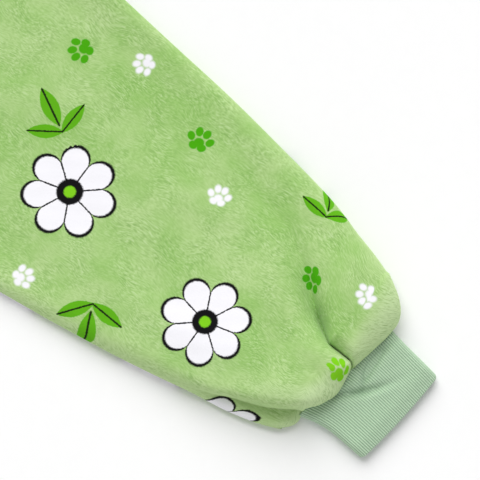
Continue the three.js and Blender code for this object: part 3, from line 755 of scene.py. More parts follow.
def sleeve_section(x, turn):
    """Points of the sleeve's outline: the underside up to a whole turn, and the top beyond it."""
    over = read(SLEEVE_EDGES, "over", x)
    under = read(SLEEVE_EDGES, "under", x)
    y = mix(under, over, (np.cos(turn) + 1) / 2)
    from_over = over - y
    from_under = y - under
    seam_height = mix(SEAM_HEIGHT, CUFF_TOP / 2, smooth_step(x, HALF_BODY, LIP_START_X))
    towards_cuff = smooth_step(x, OVER_FOOT_START_X, LIP_START_X)
    over_foot = mix(ROLL_WIDTH, OVER_FOOT_ROUND, towards_cuff)
    foot = quarter_rise(from_over, over_foot) * quarter_rise(from_under, ROLL_WIDTH)
    over_rise = quarter_rise(from_over, read(SLEEVE_FULLNESS, "over_round", x))
    under_rise = quarter_rise(from_under, read(SLEEVE_FULLNESS, "under_round", x))
    top = sleeve_top(x, y, from_over, from_under)
    above = seam_height + (top - seam_height) * over_rise * under_rise
    is_top = turn >= 2 * math.pi
    crease_depth = np.clip(read(LOBE_CREASE, "depth", x), 0, 1)
    place = crease_place(x, y) / CREASE_LEAN["width"]
    rim = 1 / CREASE_LEAN["width"]
    lean = CREASE_LEAN["lower"] * np.exp(-((place + rim) ** 2))
    lean = crease_depth * (lean - CREASE_LEAN["upper"] * np.exp(-((place - rim) ** 2)))
    from_tuck = y - read(UNDER_TUCK, "y", x)
    tuck_depth = np.clip(read(UNDER_TUCK, "depth", x), 0, 1)
    tuck_wave = np.exp(-(((from_tuck - TUCK_LEAN["middle"]) / TUCK_LEAN["width"]) ** 2))
    lean = lean - TUCK_LEAN["reach"] * tuck_depth * tuck_wave
    y = y + np.where(is_top, lean, 0)
    return np.stack([x + 0 * y, y, np.where(is_top, above, seam_height * (1 - foot))], -1)


def cuff_surface(x, across, is_top, spread):
    """The flattened cuff outline at one place across, top or bottom."""
    over = read(CUFF_EDGES, "over", x) + spread
    under = read(CUFF_EDGES, "under", x) - spread
    y = mix(under, over, (across + 1) / 2)
    radius = CUFF_TOP / 2 + np.where(is_top, spread, 0)
    rounding = quarter_rise(np.minimum(over - y, y - under), radius)
    z = np.where(is_top, CUFF_TOP / 2 + radius * rounding, (CUFF_TOP / 2) * (1 - rounding))
    return np.stack([x + 0 * y, y, z], -1)


def lip_points(turn, share):
    """The sleeve's end, rolled over the cuff seam above and laid straight to it below."""
    across = np.cos(turn)
    start_x = read(SLEEVE_END, "x", across)
    start = sleeve_section(start_x, turn)
    is_top = turn >= 2 * math.pi
    pouch = smooth_step(-across, POUCH["start"], POUCH["end"])
    lifted = smooth_step(np.where(is_top | (pouch > 0), np.abs(np.sin(turn)), 0), 0, LIP_LIFT)
    fold_tip, fold_length = np.where(
        across[..., None] > 0, LIP_FOLDS["over"], LIP_FOLDS["under"],
    ).transpose(2, 0, 1)
    tip = mix(fold_tip, read(LIP, "tip", across), lifted)
    length = mix(fold_length, read(LIP, "length", across), lifted)
    length = np.minimum(length, tip - start_x - LIP_REACH)
    angle = share * LIP_TURN
    turned = (1 - np.cos(angle)) / (1 - math.cos(LIP_TURN))
    end = cuff_surface(tip, across, is_top, LIP_CLEARANCE)
    overarm = smooth_step(across, LIP_SINK["start"], LIP_SINK["end"])
    sink = mix(turned, share, mix(LIP_SINK["middle"], LIP_SINK["overarm"], overarm))
    is_late = smooth_step(-across, LIP_LATE["start"], LIP_LATE["end"])
    sink = mix(sink, share ** LIP_LATE["power"], is_late)
    end[..., 2] = mix(end[..., 2], POUCH["height"], pouch)
    rolled_x = tip - length * (1 - np.sin(angle))
    edge_y = mix(
        read(SLEEVE_EDGES, "under", rolled_x), read(SLEEVE_EDGES, "over", rolled_x),
        (across + 1) / 2,
    )
    start_y = mix(start[..., 1], edge_y, is_late)
    end[..., 1] = mix(end[..., 1], start_y, pouch)
    rolled = np.stack([
        rolled_x,
        mix(start_y, end[..., 1], sink),
        mix(start[..., 2], end[..., 2], turned),
    ], -1)
    laid = np.stack([
        mix(start_x, CUFF_START_X - SEAM_GAP, share),
        mix(start[..., 1], end[..., 1], smooth_step(share, 0, 1)),
        mix(start[..., 2], end[..., 2], share),
    ], -1)
    below = (smooth_step(1 - np.abs(across), 0, LIP_FLAT_ZONE) * (1 - pouch))[..., None]
    return np.where(is_top[..., None], rolled, mix(rolled, laid, below))


def sleeve(wall, lumps_height):
    """The left sleeve, from armhole to rolled lip, and its nap's tone with painted sheen, highlight
    and shade.
    """
    top_steps = SLEEVE_COLUMNS["top"]
    under_steps = SLEEVE_COLUMNS["under"]
    # The front cloth's columns lie closer together at the crease and the tuck
    angles = np.linspace(0, math.pi, 4 * top_steps + 1)
    density = np.ones_like(angles)
    for middle, width, extra in FINE_ZONES.values():
        density += extra * np.exp(-(((angles - middle) / width) ** 2))
    passed = np.concatenate([[0], np.cumsum((density[1:] + density[:-1]) / 2)])
    spaced = np.linspace(0, passed[-1], top_steps, endpoint=False)
    turn = np.concatenate([
        np.linspace(math.pi, 2 * math.pi, under_steps, endpoint=False),
        2 * math.pi + np.interp(spaced, passed, angles),
    ])[None, :]
    stations = np.concatenate([
        HALF_BODY + np.array(SLEEVE_STARTS),
        *(np.linspace(*zone) for zone in SLEEVE_ROWS),
    ])[:, None]
    spread = np.clip((stations - END_SPREAD_X) / (LIP_START_X - END_SPREAD_X), 0, 1) ** 2
    stations = stations + spread * (read(SLEEVE_END, "x", np.cos(turn)) - LIP_START_X)
    shares = np.linspace(0, 1, LIP_ROWS["rolled"])[:, None]
    body = sleeve_section(stations, turn + 0 * stations)
    lip = lip_points(turn + 0 * shares, shares + 0 * turn)
    reach = np.linspace(0, 1, LIP_ROWS["approach"])[1:-1, None, None]
    outer = np.concatenate([body, mix(body[-1:], lip[:1], reach), lip])
    crown = under_steps + top_steps // 2
    normals = facing(grid_normals(outer, True), crown)
    # The wall keeps its X at the armhole
    normals[0, :, 0] = 0
    x, y = outer[..., 0], outer[..., 1]
    inner = (outer - wall * normals)[::INNER_STEP, ::INNER_STEP]
    # The inner face stays within the folds, where the cloth turns more sharply than it is thick
    inner_x = inner[..., 0]
    lowest = read(SLEEVE_EDGES, "under", inner_x) + INNER_MARGIN
    highest = read(SLEEVE_EDGES, "over", inner_x) - INNER_MARGIN
    inner[..., 1] = np.clip(inner[..., 1], lowest, highest)
    # Lengths along the cloth are taken square to each ring, so the print isn't skewed at the edges
    ring = np.concatenate([outer, outer[:, :1]], 1)
    tangent = np.roll(outer, -1, 1) - np.roll(outer, 1, 1)
    tangent = tangent / np.linalg.norm(tangent, axis=2, keepdims=True)
    step = np.diff(outer, axis=0)
    sideways = np.sum(step * tangent[1:], axis=2)
    forward = np.sqrt(np.maximum(np.sum(step * step, axis=2) - sideways ** 2, 0))
    along = np.cumsum(np.concatenate([np.full((1, outer.shape[1]), HALF_BODY), forward]), axis=0)
    around = np.concatenate([
        np.zeros((len(outer), 1)),
        np.cumsum(np.linalg.norm(np.diff(ring, axis=1), axis=2), axis=1),
    ], 1)
    from_crown = around[:, crown][:, None] - around
    places = np.stack([np.concatenate([along, along[:, :1]], 1), from_crown], -1)
    on_top = (turn > 2 * math.pi) & (turn < 3 * math.pi)
    edge = np.sin(turn) ** 2
    lumps = pile_lumps(x, y, lumps_height) * smooth_step(edge, *PILE_FADE["sleeve"])
    outer = outer + ((lumps - seam_dip(x - HALF_BODY)) * on_top)[..., None] * normals
    # The nap's tone, with painted sheen along the folds, the lower lobe beside the tuck and the lip,
    # and painted shade and highlight among its patches
    from_low = (y - read(UNDER_TUCK, "y", x) - LOW_PAINTED_SHEEN["from_tuck"]) / LOW_PAINTED_SHEEN["width"]
    from_under = (y - read(SLEEVE_EDGES, "under", x)) / EDGE_PAINTED_SHEEN["under_reach"]
    from_over = (read(SLEEVE_EDGES, "over", x) - y) / EDGE_PAINTED_SHEEN["over_reach"]
    lie = fold_height(NAP_AND_PAINTED_LIGHT_PATCHES, x, y)
    lie = lie + LOW_PAINTED_SHEEN["amount"] * smooth_step(x, *LOW_PAINTED_SHEEN["along"]) * np.exp(-(from_low ** 2))
    lie = lie + LIP_PAINTED_SHEEN["amount"] * smooth_step(x, *LIP_PAINTED_SHEEN["along"])
    lie = lie + EDGE_PAINTED_SHEEN["under"] * np.exp(-(from_under ** 2))
    lie = (lie + EDGE_PAINTED_SHEEN["over"] * np.exp(-(from_over ** 2))) * on_top
    lie = np.concatenate([lie.ravel(), lie[::INNER_STEP, ::INNER_STEP].ravel()])
    return cloth_wall(outer, inner, places, True), lie


def cuff_points(x, share, sunk):
    """Points of a cuff ring by share of the way round, sunk below the rib tops by a depth."""
    over = read(CUFF_EDGES, "over", x)
    under = read(CUFF_EDGES, "under", x)
    radius = CUFF_TOP / 2
    flat = over - under - 2 * radius
    arc = math.pi * radius
    way = share * 2 * (flat + arc)
    first_turn = math.pi / 2 + np.clip((way - flat) / radius, 0, math.pi)
    second_turn = np.clip((way - 2 * flat - arc) / radius, 0, math.pi)
    turn = first_turn + second_turn
    out_y, out_z = np.cos(turn), np.sin(turn)
    across_top = np.clip(way, 0, flat)
    across_bottom = np.clip(way - flat - arc, 0, flat)
    y = over - radius - across_top + across_bottom + (radius - sunk) * out_y
    z = radius + (radius - sunk) * out_z
    middle_y = over - radius - across_top + across_bottom + radius * out_y
    bow = CUFF_END_BOW * (1 - (2 * middle_y / (over - under)) ** 2)
    end_x = CUFF_END_X + CUFF_END_SLOPE * middle_y + bow
    along = (x - CUFF_START_X) / (CUFF_END_X - CUFF_START_X)
    from_side = np.minimum(over - middle_y, middle_y - under)
    corner = CUFF_CORNER["depth"] * (1 - quarter_rise(from_side, CUFF_CORNER["round"]))
    slant_x = mix(CUFF_START_X, end_x, along) - corner * along ** CUFF_CORNER["late"]
    on_top = smooth_step(z / CUFF_TOP, *CREASED_HEIGHT)
    z = z + fold_height(CUFF_CREASES, slant_x, y) * on_top
    tapered = smooth_step(along, CUFF_TAPER["start"], CUFF_TAPER["end"])
    z = z * (1 - CUFF_TAPER["share"] * tapered * (z > 0))
    return np.stack([slant_x, y, z], -1)


def cuff(ribs, rib_height, wall):
    """A doubled rib tube: out along the ribs, round its folded end and back inside, and how much
    painted shade each point takes, between its ribs and in its creases.
    """
    out_rows = CUFF_ROWS["outside"]
    back_rows = CUFF_ROWS["inside"] - 1
    share = np.linspace(0, 1, ribs * POINTS_A_RIB, endpoint=False)[None, :]
    valley = np.sin(math.pi * ribs * share) ** 4
    fold = wall / 2
    bend = np.linspace(0, math.pi, CUFF_ROWS["folded"])[1:, None]
    stations = np.concatenate([
        np.linspace(CUFF_START_X, CUFF_END_X - fold, out_rows)[:, None],
        CUFF_END_X - fold + fold * np.sin(bend),
        np.linspace(CUFF_END_X - fold, CUFF_START_X, back_rows + 1)[1:, None],
    ])
    sunk = np.concatenate([
        np.zeros((out_rows, 1)),
        fold * (1 - np.cos(bend)),
        np.full((back_rows, 1), wall),
    ])
    ribbed = np.concatenate([
        np.ones((out_rows, 1)),
        np.cos(bend / 2),
        np.zeros((back_rows, 1)),
    ])
    ring_x = stations + 0 * share
    ring_share = share + 0 * stations
    points = cuff_points(ring_x, ring_share, sunk + ribbed * rib_height * valley)
    rows, columns = points.shape[:2]
    ids = np.arange(rows * (columns + 1)).reshape(rows, -1)
    faces = grid_quads(np.concatenate([ids, ids[:1]])).tolist()
    row, column = np.indices((rows, columns + 1))
    point_of = (row * columns + column % columns).ravel()
    around = share * 2 * (read(CUFF_EDGES, "over", stations) - read(CUFF_EDGES, "under", stations))
    around = np.concatenate([around, around[:, :1] + around[:, -1:] * columns / (columns - 1)], 1)
    flat_points = cuff_points(ring_x, ring_share, 0 * ring_x)
    lengths = np.linalg.norm(np.diff(flat_points, axis=0), axis=2).mean(1)
    along = np.concatenate([[0], np.cumsum(lengths)])[:, None]
    cut = np.stack([along + 0 * around, around], -1).reshape(-1, 2)
    # The gaps between the ribs take painted shade, and in a crease that painted shade spreads over the
    # ribs too
    creases = fold_height(CUFF_CREASES, points[..., 0], points[..., 1])
    painted_crease_shade = np.clip(-CREASE_PAINTED_SHADE["each"] * creases, 0, CREASE_PAINTED_SHADE["most"])
    gap = mix(valley, 1, painted_crease_shade).ravel()
    return (points.reshape(-1, 3), faces, point_of, cut, np.zeros(len(faces))), gap


def hood_half(wall, lumps_height):
    """The left half of the hood, folded over at the side: its back, then its front."""
    share = np.linspace(0, 1, HOOD_ROWS)[:, None]
    bend = np.clip(share / HOOD_BEND, 0, 1)
    angle = np.clip((share - HOOD_BEND) / (1 - HOOD_BEND), 0, 1) * math.pi / 2
    lower = share < HOOD_BEND
    fold_x = np.where(
        lower,
        HALF_HOOD - (HALF_HOOD - HALF_NECK) * (1 - bend) ** 2,
        np.maximum(SEAM_GAP / 2, HALF_HOOD * np.cos(angle)),
    )
    fold_y = np.where(
        lower,
        mix(NECK_Y + SEAM_GAP, HOOD_WIDEST_Y, bend),
        HOOD_WIDEST_Y + (HOOD_TOP_Y - HOOD_WIDEST_Y) * np.sin(angle),
    )
    face_x = np.maximum(SEAM_GAP / 2, HALF_FACE * np.abs(np.sin(math.pi * share)) ** FACE_BOW)
    face_y = mix(NECK_Y - FRONT_NECK_DROP + SEAM_GAP, FACE_TOP_Y, share)
    seam_x = SEAM_GAP / 2 + 0 * share
    seam_y = mix(NECK_Y - BACK_NECK_DROP + SEAM_GAP, HOOD_SEAM_BEND_Y, share)
    steps = np.linspace(0, 1, HOOD_COLUMNS)[None, :] ** 2
    neck_pull = (1 - share) ** NECK_FOLLOW

    def line(target_x, target_y, far, is_top):
        """Points from the side fold towards a line, and how far each lies from the fold."""
        length = np.hypot(target_x - fold_x, target_y - fold_y)
        x = mix(fold_x, target_x, far)
        y = mix(fold_y, target_y, far)
        drop = FRONT_NECK_DROP if is_top else BACK_NECK_DROP
        neckline = body_top(np.minimum(x, HALF_NECK - 0.001), drop) + SEAM_GAP
        y = y + (neckline - mix(NECK_Y + SEAM_GAP, target_y, far)) * neck_pull
        distance = length * far
        z = front_top(distance) if is_top else back_under(distance)
        if is_top:
            clear = smooth_step(distance, *HOOD_FOLD_FADE["side"])
            clear = clear * smooth_step(length - distance, *HOOD_FOLD_FADE["face"])
            clear = clear * smooth_step(share, *HOOD_FOLD_FADE["neck"])
            z = z + fold_height(HOOD_FOLDS, x, y) * clear
        return np.stack([x, y, z], -1), distance

    back, back_way = line(seam_x, seam_y, steps[:, ::-1], False)
    front, front_way = line(face_x, face_y, steps, True)
    outer = np.concatenate([back, front[:, 1:]], 1)
    way = np.concatenate([-back_way, front_way[:, 1:]], 1)
    normals = facing(grid_normals(outer, False), outer.shape[1] * 3 // 4)
    # The wall keeps its X at the crown and back seams, and its Y at the neck seam
    normals[-1] = normals[-2]
    for part in (normals[-1], normals[:, 0]):
        part[:, 0] = 0
    normals[0, :, 1] = 0
    normals /= np.maximum(np.linalg.norm(normals, axis=2, keepdims=True), 1e-6)
    inner = (outer - wall * normals)[::INNER_STEP, ::INNER_STEP]
    x, y = outer[..., 0], outer[..., 1]
    is_front = np.arange(outer.shape[1])[None, :] >= back.shape[1]
    from_face = front_way[:, -1:] - np.abs(way)
    dip = hem_dip(from_face, FACE_HEM_WIDTH) + seam_dip(share * HOOD_LENGTH)
    lumps = pile_lumps(x, y, lumps_height) * smooth_step(np.abs(way), *PILE_FADE["hood"])
    outer = outer + ((lumps - dip) * is_front)[..., None] * normals
    # The back layer opens out about the side fold
    places = np.stack([y, np.where(is_front, -x, x - 2 * fold_x)], -1)
    return cloth_wall(outer, inner, places, False)


def add_node(tree, kind, *values, sockets=None, output=0, **settings):
    """Adds a shader node with its settings, links or sets its inputs by number or by name, and
    gives back one output, or all of them where output is None.
    """
    node = tree.nodes.new("ShaderNode" + kind)
    for name, value in settings.items():
        setattr(node, name, value)
    for key, value in {**dict(enumerate(values)), **(sockets or {})}.items():
        if isinstance(value, bpy.types.NodeSocket):
            tree.links.new(value, node.inputs[key])
        elif value is not None:
            node.inputs[key].default_value = value
    return list(node.outputs) if output is None else node.outputs[output]


def start_material(name):
    """A material with an empty node tree."""
    material = bpy.data.materials.new(name)
    material.use_nodes = True
    material.node_tree.nodes.clear()
    return material, material.node_tree


def ellipse(tree, place, x, y, half_width, half_height, turn):
    """How far inside an ellipse each place is: 1 at its middle, 0 on its edge."""
    local = add_node(
        tree, "Mapping", place, (x, y, 0), (0, 0, math.radians(turn)),
        (half_width, half_height, 1), vector_type="TEXTURE",
    )
    length = add_node(tree, "VectorMath", local, operation="LENGTH", output=1)
    return add_node(tree, "Math", 1.0, length, operation="SUBTRACT")


def most(tree, *values):
    """The largest of several values."""
    found = values[0]
    for value in values[1:]:
        found = add_node(tree, "Math", found, value, operation="MAXIMUM")
    return found


def printed_mask(tree, value, softness):
    """1 inside a printed shape, softened where pile blurs its edge."""
    return add_node(
        tree, "MapRange", value, -softness, softness, 0.0, 1.0, interpolation_type="SMOOTHSTEP",
    )


def paint(tree, under, colour, mask):
    """Lays a colour over another where a mask is 1."""
    return add_node(
        tree, "Mix", sockets={0: mask, 6: under, 7: colour}, output=2, data_type="RGBA",
    )


def paw_inside(tree, folded):
    """How far inside a paw print each place is: a three-lobed pad below two toes a side."""
    return most(tree, *(ellipse(tree, folded, *part) for part in PAW_PARTS))


def leaf_values(tree, folded, x, y, half_length, half_width, turn):
    """How far inside a pointed leaf each place is, and how near its midrib."""
    local = add_node(
        tree, "Mapping", folded, (x, y, 0), (0, 0, math.radians(turn)),
        (half_width, half_length, 1), vector_type="TEXTURE",
    )
    across, along, _ = add_node(tree, "SeparateXYZ", local, output=None)
    side = add_node(tree, "Math", across, operation="ABSOLUTE")
    squared = add_node(tree, "Math", along, along, operation="MULTIPLY")
    belly = add_node(tree, "Math", 1.0, squared, operation="SUBTRACT")
    inside = add_node(tree, "Math", belly, side, operation="SUBTRACT")
    midrib = add_node(tree, "Math", MIDRIB_WIDTH, side, operation="SUBTRACT")
    vein = add_node(tree, "Math", midrib, inside, operation="MINIMUM")
    return inside, vein


def blossom_shapes(tree, place, x, y, colours):
    """White petals edged in black, and a black eye with a bright middle."""
    petals = BLOSSOM_SHAPE["petals"]
    reach = add_node(tree, "VectorMath", place, operation="LENGTH", output=1)
    bearing = add_node(tree, "Math", y, x, operation="ARCTAN2")
    half_petal = add_node(tree, "Math", bearing, petals / 2, operation="MULTIPLY")
    wave = add_node(tree, "Math", half_petal, operation="COSINE")
    wave = add_node(tree, "Math", wave, operation="ABSOLUTE")
    rounded = add_node(tree, "Math", wave, BLOSSOM_SHAPE["fullness"], operation="POWER")
    limit = add_node(
        tree, "Math", rounded, BLOSSOM_SHAPE["petal"], BLOSSOM_SHAPE["root"],
        operation="MULTIPLY_ADD",
    )
    inside = add_node(tree, "Math", limit, reach, operation="SUBTRACT")
    within = add_node(tree, "Math", inside, BLOSSOM_SHAPE["edge"], operation="SUBTRACT")
    from_parting = add_node(tree, "Math", wave, reach, operation="MULTIPLY")
    clear = add_node(tree, "Math", from_parting, BLOSSOM_SHAPE["parting"], operation="SUBTRACT")
    petal = add_node(tree, "Math", within, clear, operation="MINIMUM")
    eye = add_node(tree, "Math", BLOSSOM_SHAPE["eye"], reach, operation="SUBTRACT")
    middle = add_node(tree, "Math", BLOSSOM_SHAPE["middle"], reach, operation="SUBTRACT")
    return (
        (inside, PRINT_EDGE["blossom"], colours.print_black),
        (petal, PRINT_EDGE["blossom"], colours.print_white),
        (eye, PRINT_EDGE["blossom"], colours.print_black),
        (middle, PRINT_EDGE["blossom"], colours.print_bright),
    )


def sprig_shapes(tree, folded, colours):
    """One upright leaf and a pair beside it, bright with dark midribs."""
    upright, upright_vein = leaf_values(tree, folded, *LEAVES["upright"])
    leaning, leaning_vein = leaf_values(tree, folded, *LEAVES["leaning"])
    return (
        (most(tree, upright, leaning), PRINT_EDGE["leaf"], colours.leaf_bright),
        (most(tree, upright_vein, leaning_vein), PRINT_EDGE["midrib"], colours.leaf_dark),
    )


def printed_colour(tree, ground, colours):
    """Paints the print's motifs over the plush ground, and says where there is print."""
    place = add_node(tree, "UVMap", uv_map="print_place")
    cut = add_node(tree, "UVMap", uv_map="cut")
    # Pile tips stray up to 0.3 mm across the edge of a paw, in waves of about a millimetre
    stray = add_node(
        tree, "TexNoise", sockets={"Vector": cut, "Scale": 900.0, "Detail": 1.0}, output=1,
    )
    stray = add_node(tree, "VectorMath", stray, NOISE_MIDDLE, operation="SUBTRACT")
    stray = add_node(tree, "VectorMath", stray, sockets={"Scale": 0.04}, operation="SCALE")
    place = add_node(tree, "VectorMath", place, stray, operation="ADD")
    kind = add_node(tree, "Attribute", attribute_name="print_kind", output=2)
    # Paws and sprigs are alike on both sides, so they are drawn folded along their middle
    absolute = add_node(tree, "VectorMath", place, operation="ABSOLUTE")
    x, y, _ = add_node(tree, "SeparateXYZ", place, output=None)
    side = add_node(tree, "SeparateXYZ", absolute, output=0)
    folded = add_node(tree, "CombineXYZ", side, y, 0.0)

    # White paws are the most blurred, because green pile shows between their white tips
    paws = paw_inside(tree, folded)
    motifs = (
        (PAW_GREEN, ((paws, PRINT_EDGE["paw"], colours.print_green),)),
        (PAW_WHITE, ((paws, PRINT_EDGE["white_paw"], colours.print_white),)),
        (PAW_BRIGHT, ((paws, PRINT_EDGE["paw"], colours.print_bright),)),
        (BLOSSOM, blossom_shapes(tree, place, x, y, colours)),
        (SPRIG, sprig_shapes(tree, folded, colours)),
    )
    painted = ground
    covered = 0.0
    for motif, shapes in motifs:
        here = add_node(tree, "Math", kind, float(motif), 0.1, operation="COMPARE")
        for inside, softness, colour in shapes:
            shape = printed_mask(tree, inside, softness)
            mask = add_node(tree, "Math", shape, here, operation="MULTIPLY")
            painted = paint(tree, painted, tuple(colour), mask)
            covered = most(tree, mask, covered)
    return painted, covered


def plush_material(colours):
    """Brushed polyester plush, cut pile about 2 mm, heat-transfer printed.

    The pile gives a matt, soft surface with fine streaks along the nap. Its paler and darker patches
    are partly the nap's own tone and partly painted: painted sheen along the sleeve's folds, lower
    lobe and lip, painted highlight on its crests and painted shade in its crease.
    """
    material, tree = start_material("brushed_polyester_plush")
    cut = add_node(tree, "UVMap", uv_map="cut")
    # The nap wanders by up to about 20 mm over patches 60 mm across
    wander = add_node(
        tree, "TexNoise", sockets={"Vector": cut, "Scale": 17.0, "Detail": 2.0}, output=1,
    )
    wander = add_node(tree, "VectorMath", wander, NOISE_MIDDLE, operation="SUBTRACT")
    wander = add_node(tree, "VectorMath", wander, sockets={"Scale": 0.028}, operation="SCALE")
    strayed = add_node(tree, "VectorMath", cut, wander, operation="ADD")
    # Pile streaks 7 mm long and 1.5 mm wide; single fibres are too fine to show
    stretched = add_node(tree, "Mapping", strayed, None, None, (0.22, 1.0, 1.0))
    streaks = add_node(tree, "TexNoise", sockets={
        "Vector": stretched, "Scale": 880.0, "Detail": 3.0, "Roughness": 0.6,
    })
    # Patches of paler nap about 40 mm across, besides the tone, painted sheen, highlight and shade
    # that the sleeve's own attribute gives it
    patches = add_node(tree, "TexNoise", sockets={
        "Vector": strayed, "Scale": 24.0, "Detail": 3.0, "Roughness": 0.55,
    })
    # The sleeve's nap tone with its painted sheen, highlight and shade; zero on the body and hood
    lie = add_node(tree, "Attribute", attribute_name="nap_lie", output=2)
    pale = add_node(tree, "MapRange", patches, 0.36, 0.64, 0.05, 0.9)
    pale = add_node(tree, "Math", pale, lie, operation="ADD", use_clamp=True)
    ground = paint(tree, tuple(colours.plush_green), tuple(colours.plush_pale_and_painted_sheen), pale)
    # Painted sheen where the sleeve's values run highest: along its folds, the lower lobe and the lip
    palest = add_node(tree, "MapRange", lie, 0.5, 1.7, 0.0, 0.9)
    ground = paint(tree, ground, tuple(colours.plush_tip_and_painted_sheen), palest)
    # Painted shade where the sleeve's values run lowest: in the crease between the lobes
    deepest = add_node(tree, "MapRange", lie, -0.7, -1.6, 0.0, 0.8)
    ground = paint(tree, ground, tuple(colours.plush_deep_and_painted_shade), deepest)
    # The streaks are clear in patches about 30 mm across and nearly smoothed away in others
    brushed = add_node(tree, "TexNoise", sockets={"Vector": cut, "Scale": 31.0, "Detail": 1.0})
    brushed = add_node(tree, "MapRange", brushed, 0.35, 0.65, 0.35, 1.0)
    for low, high, colour in ((0.52, 0.36, colours.plush_deep_and_painted_shade), (0.5, 0.66, colours.plush_tip_and_painted_sheen)):
        share = add_node(tree, "MapRange", streaks, low, high, 0.0, 0.6)
        share = add_node(tree, "Math", share, brushed, operation="MULTIPLY")
        ground = paint(tree, ground, tuple(colour), share)
    painted, covered = printed_colour(tree, ground, colours)
    # The tips that catch the light have the print's colour where it covers them
    tips = paint(tree, tuple(colours.plush_tip_and_painted_sheen), painted, covered)
    bump = add_node(
        tree, "Bump", sockets={"Strength": 0.35, "Distance": 0.0006, "Height": streaks},
    )
    finish = add_node(tree, "BsdfPrincipled", sockets={
        "Base Color": painted,
        "Roughness": 0.95,
        "Specular IOR Level": 0.2,
        "Sheen Weight": 0.8,
        "Sheen Roughness": 0.5,
        "Sheen Tint": tips,
        "Normal": bump,
    })
    add_node(tree, "OutputMaterial", finish, output=None)
    return material


def rib_material(colours):
    """Rib knit of cotton and elastane, doubled.

    The ribs stand in bright lines with painted shade in their gaps and creases, and each shows its
    small stitches.
    """
    material, tree = start_material("cotton_rib_knit")
    cut = add_node(tree, "UVMap", uv_map="cut")
    along = add_node(tree, "SeparateXYZ", cut, output=0)
    phase = add_node(tree, "Math", along, 2 * math.pi / STITCH_LENGTH, operation="MULTIPLY")
    stitch = add_node(tree, "Math", phase, operation="SINE")
    # Cotton fuzz in tufts of about 1.5 mm; its single fibres are too fine to show
    fuzz = add_node(tree, "TexNoise", sockets={"Vector": cut, "Scale": 700.0, "Detail": 2.0})
    gap = add_node(tree, "Attribute", attribute_name="rib_gap", output=2)
    uneven = add_node(tree, "MapRange", fuzz, 0.3, 0.7, -0.08, 0.12)
    tone = add_node(tree, "Math", gap, uneven, operation="ADD", use_clamp=True)
    # Painted shade between the ribs and in the cuff's creases, made uneven by the fuzz
    colour = paint(tree, tuple(colours.rib_green), tuple(colours.rib_gap), tone)
    height = add_node(tree, "Math", stitch, fuzz, operation="ADD")
    bump = add_node(
        tree, "Bump", sockets={"Strength": 0.25, "Distance": 0.0003, "Height": height},
    )
    finish = add_node(tree, "BsdfPrincipled", sockets={
        "Base Color": colour,
        "Roughness": 0.85,
        "Specular IOR Level": 0.25,
        "Sheen Weight": 0.15,
        "Sheen Roughness": 0.5,
        "Normal": bump,
    })
    add_node(tree, "OutputMaterial", finish, output=None)
    return material


def floor_material(colours):
    """Matt white paper sweep, which gives soft shadows an even ground."""
    material, tree = start_material("matt_paper_sweep")
    place = add_node(tree, "TexCoord", output=3)
    # The paper's tooth is too fine to show, so it is a faint unevenness about 20 mm across
    tooth = add_node(tree, "TexNoise", sockets={"Vector": place, "Scale": 60.0, "Detail": 2.0})
    shade = add_node(tree, "MapRange", tooth, 0.3, 0.7, 0.0, 0.04)
    colour = paint(tree, tuple(colours.floor), tuple(colours.floor_shade), shade)
    finish = add_node(tree, "BsdfPrincipled", sockets={
        "Base Color": colour,
        "Roughness": 0.9,
        "Specular IOR Level": 0.1,
    })
    add_node(tree, "OutputMaterial", finish, output=None)
    return material


def dress(piece, node, material):
    """Gives a piece its finish and its place in the model."""
    piece.data.materials.append(material)
    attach(piece, "root")
    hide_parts(node)


def hoodie_plush(context):
    """The one plush that the body, the sleeves and the hood share."""
    found = bpy.data.materials.get("brushed_polyester_plush")
    return found or plush_material(context.scene.hoodie_colours)


class HoodieSizes(bpy.types.PropertyGroup):
    """Sizes a user may change."""
    plush_wall: bpy.props.FloatProperty(
        name="Plush thickness", description="Thickness of the plush with its pile",
        default=0.003, min=0.001, max=0.006, subtype="DISTANCE", unit="LENGTH",
    )
    pile_lumps: bpy.props.FloatProperty(
        name="Pile unevenness", description="How far the brushed pile rises and falls",
        default=0.0003, min=0, max=0.001, subtype="DISTANCE", unit="LENGTH",
    )
    cuff_wall: bpy.props.FloatProperty(
        name="Cuff thickness", description="Thickness of the doubled rib knit",
        default=0.003, min=0.001, max=0.005, subtype="DISTANCE", unit="LENGTH",
    )
    rib_height: bpy.props.FloatProperty(
        name="Rib height", description="How far the cuff's ribs stand above their gaps",
        default=0.0008, min=0, max=0.002, subtype="DISTANCE", unit="LENGTH",
    )
    rib_count: bpy.props.IntProperty(
        name="Ribs", description="Ribs round each cuff", default=100, min=24, max=160,
    )
    floor_size: bpy.props.FloatProperty(
        name="Floor size", description="Width of the floor the garment lies on",
        default=9, min=3, max=20, subtype="DISTANCE", unit="LENGTH",
    )


def plush_sizes(context):
    """The plush's thickness and its pile's unevenness, in millimetres."""
    sizes = context.scene.hoodie_sizes
    return sizes.plush_wall / MILLIMETRE, sizes.pile_lumps / MILLIMETRE


def colour_property(name, description, value):
    """A colour that a user may change, from its sRGB hex value."""
    return bpy.props.FloatVectorProperty(
        name=name, description=description, size=4, min=0, max=1,
        subtype="COLOR", default=hex_colour(value),
    )


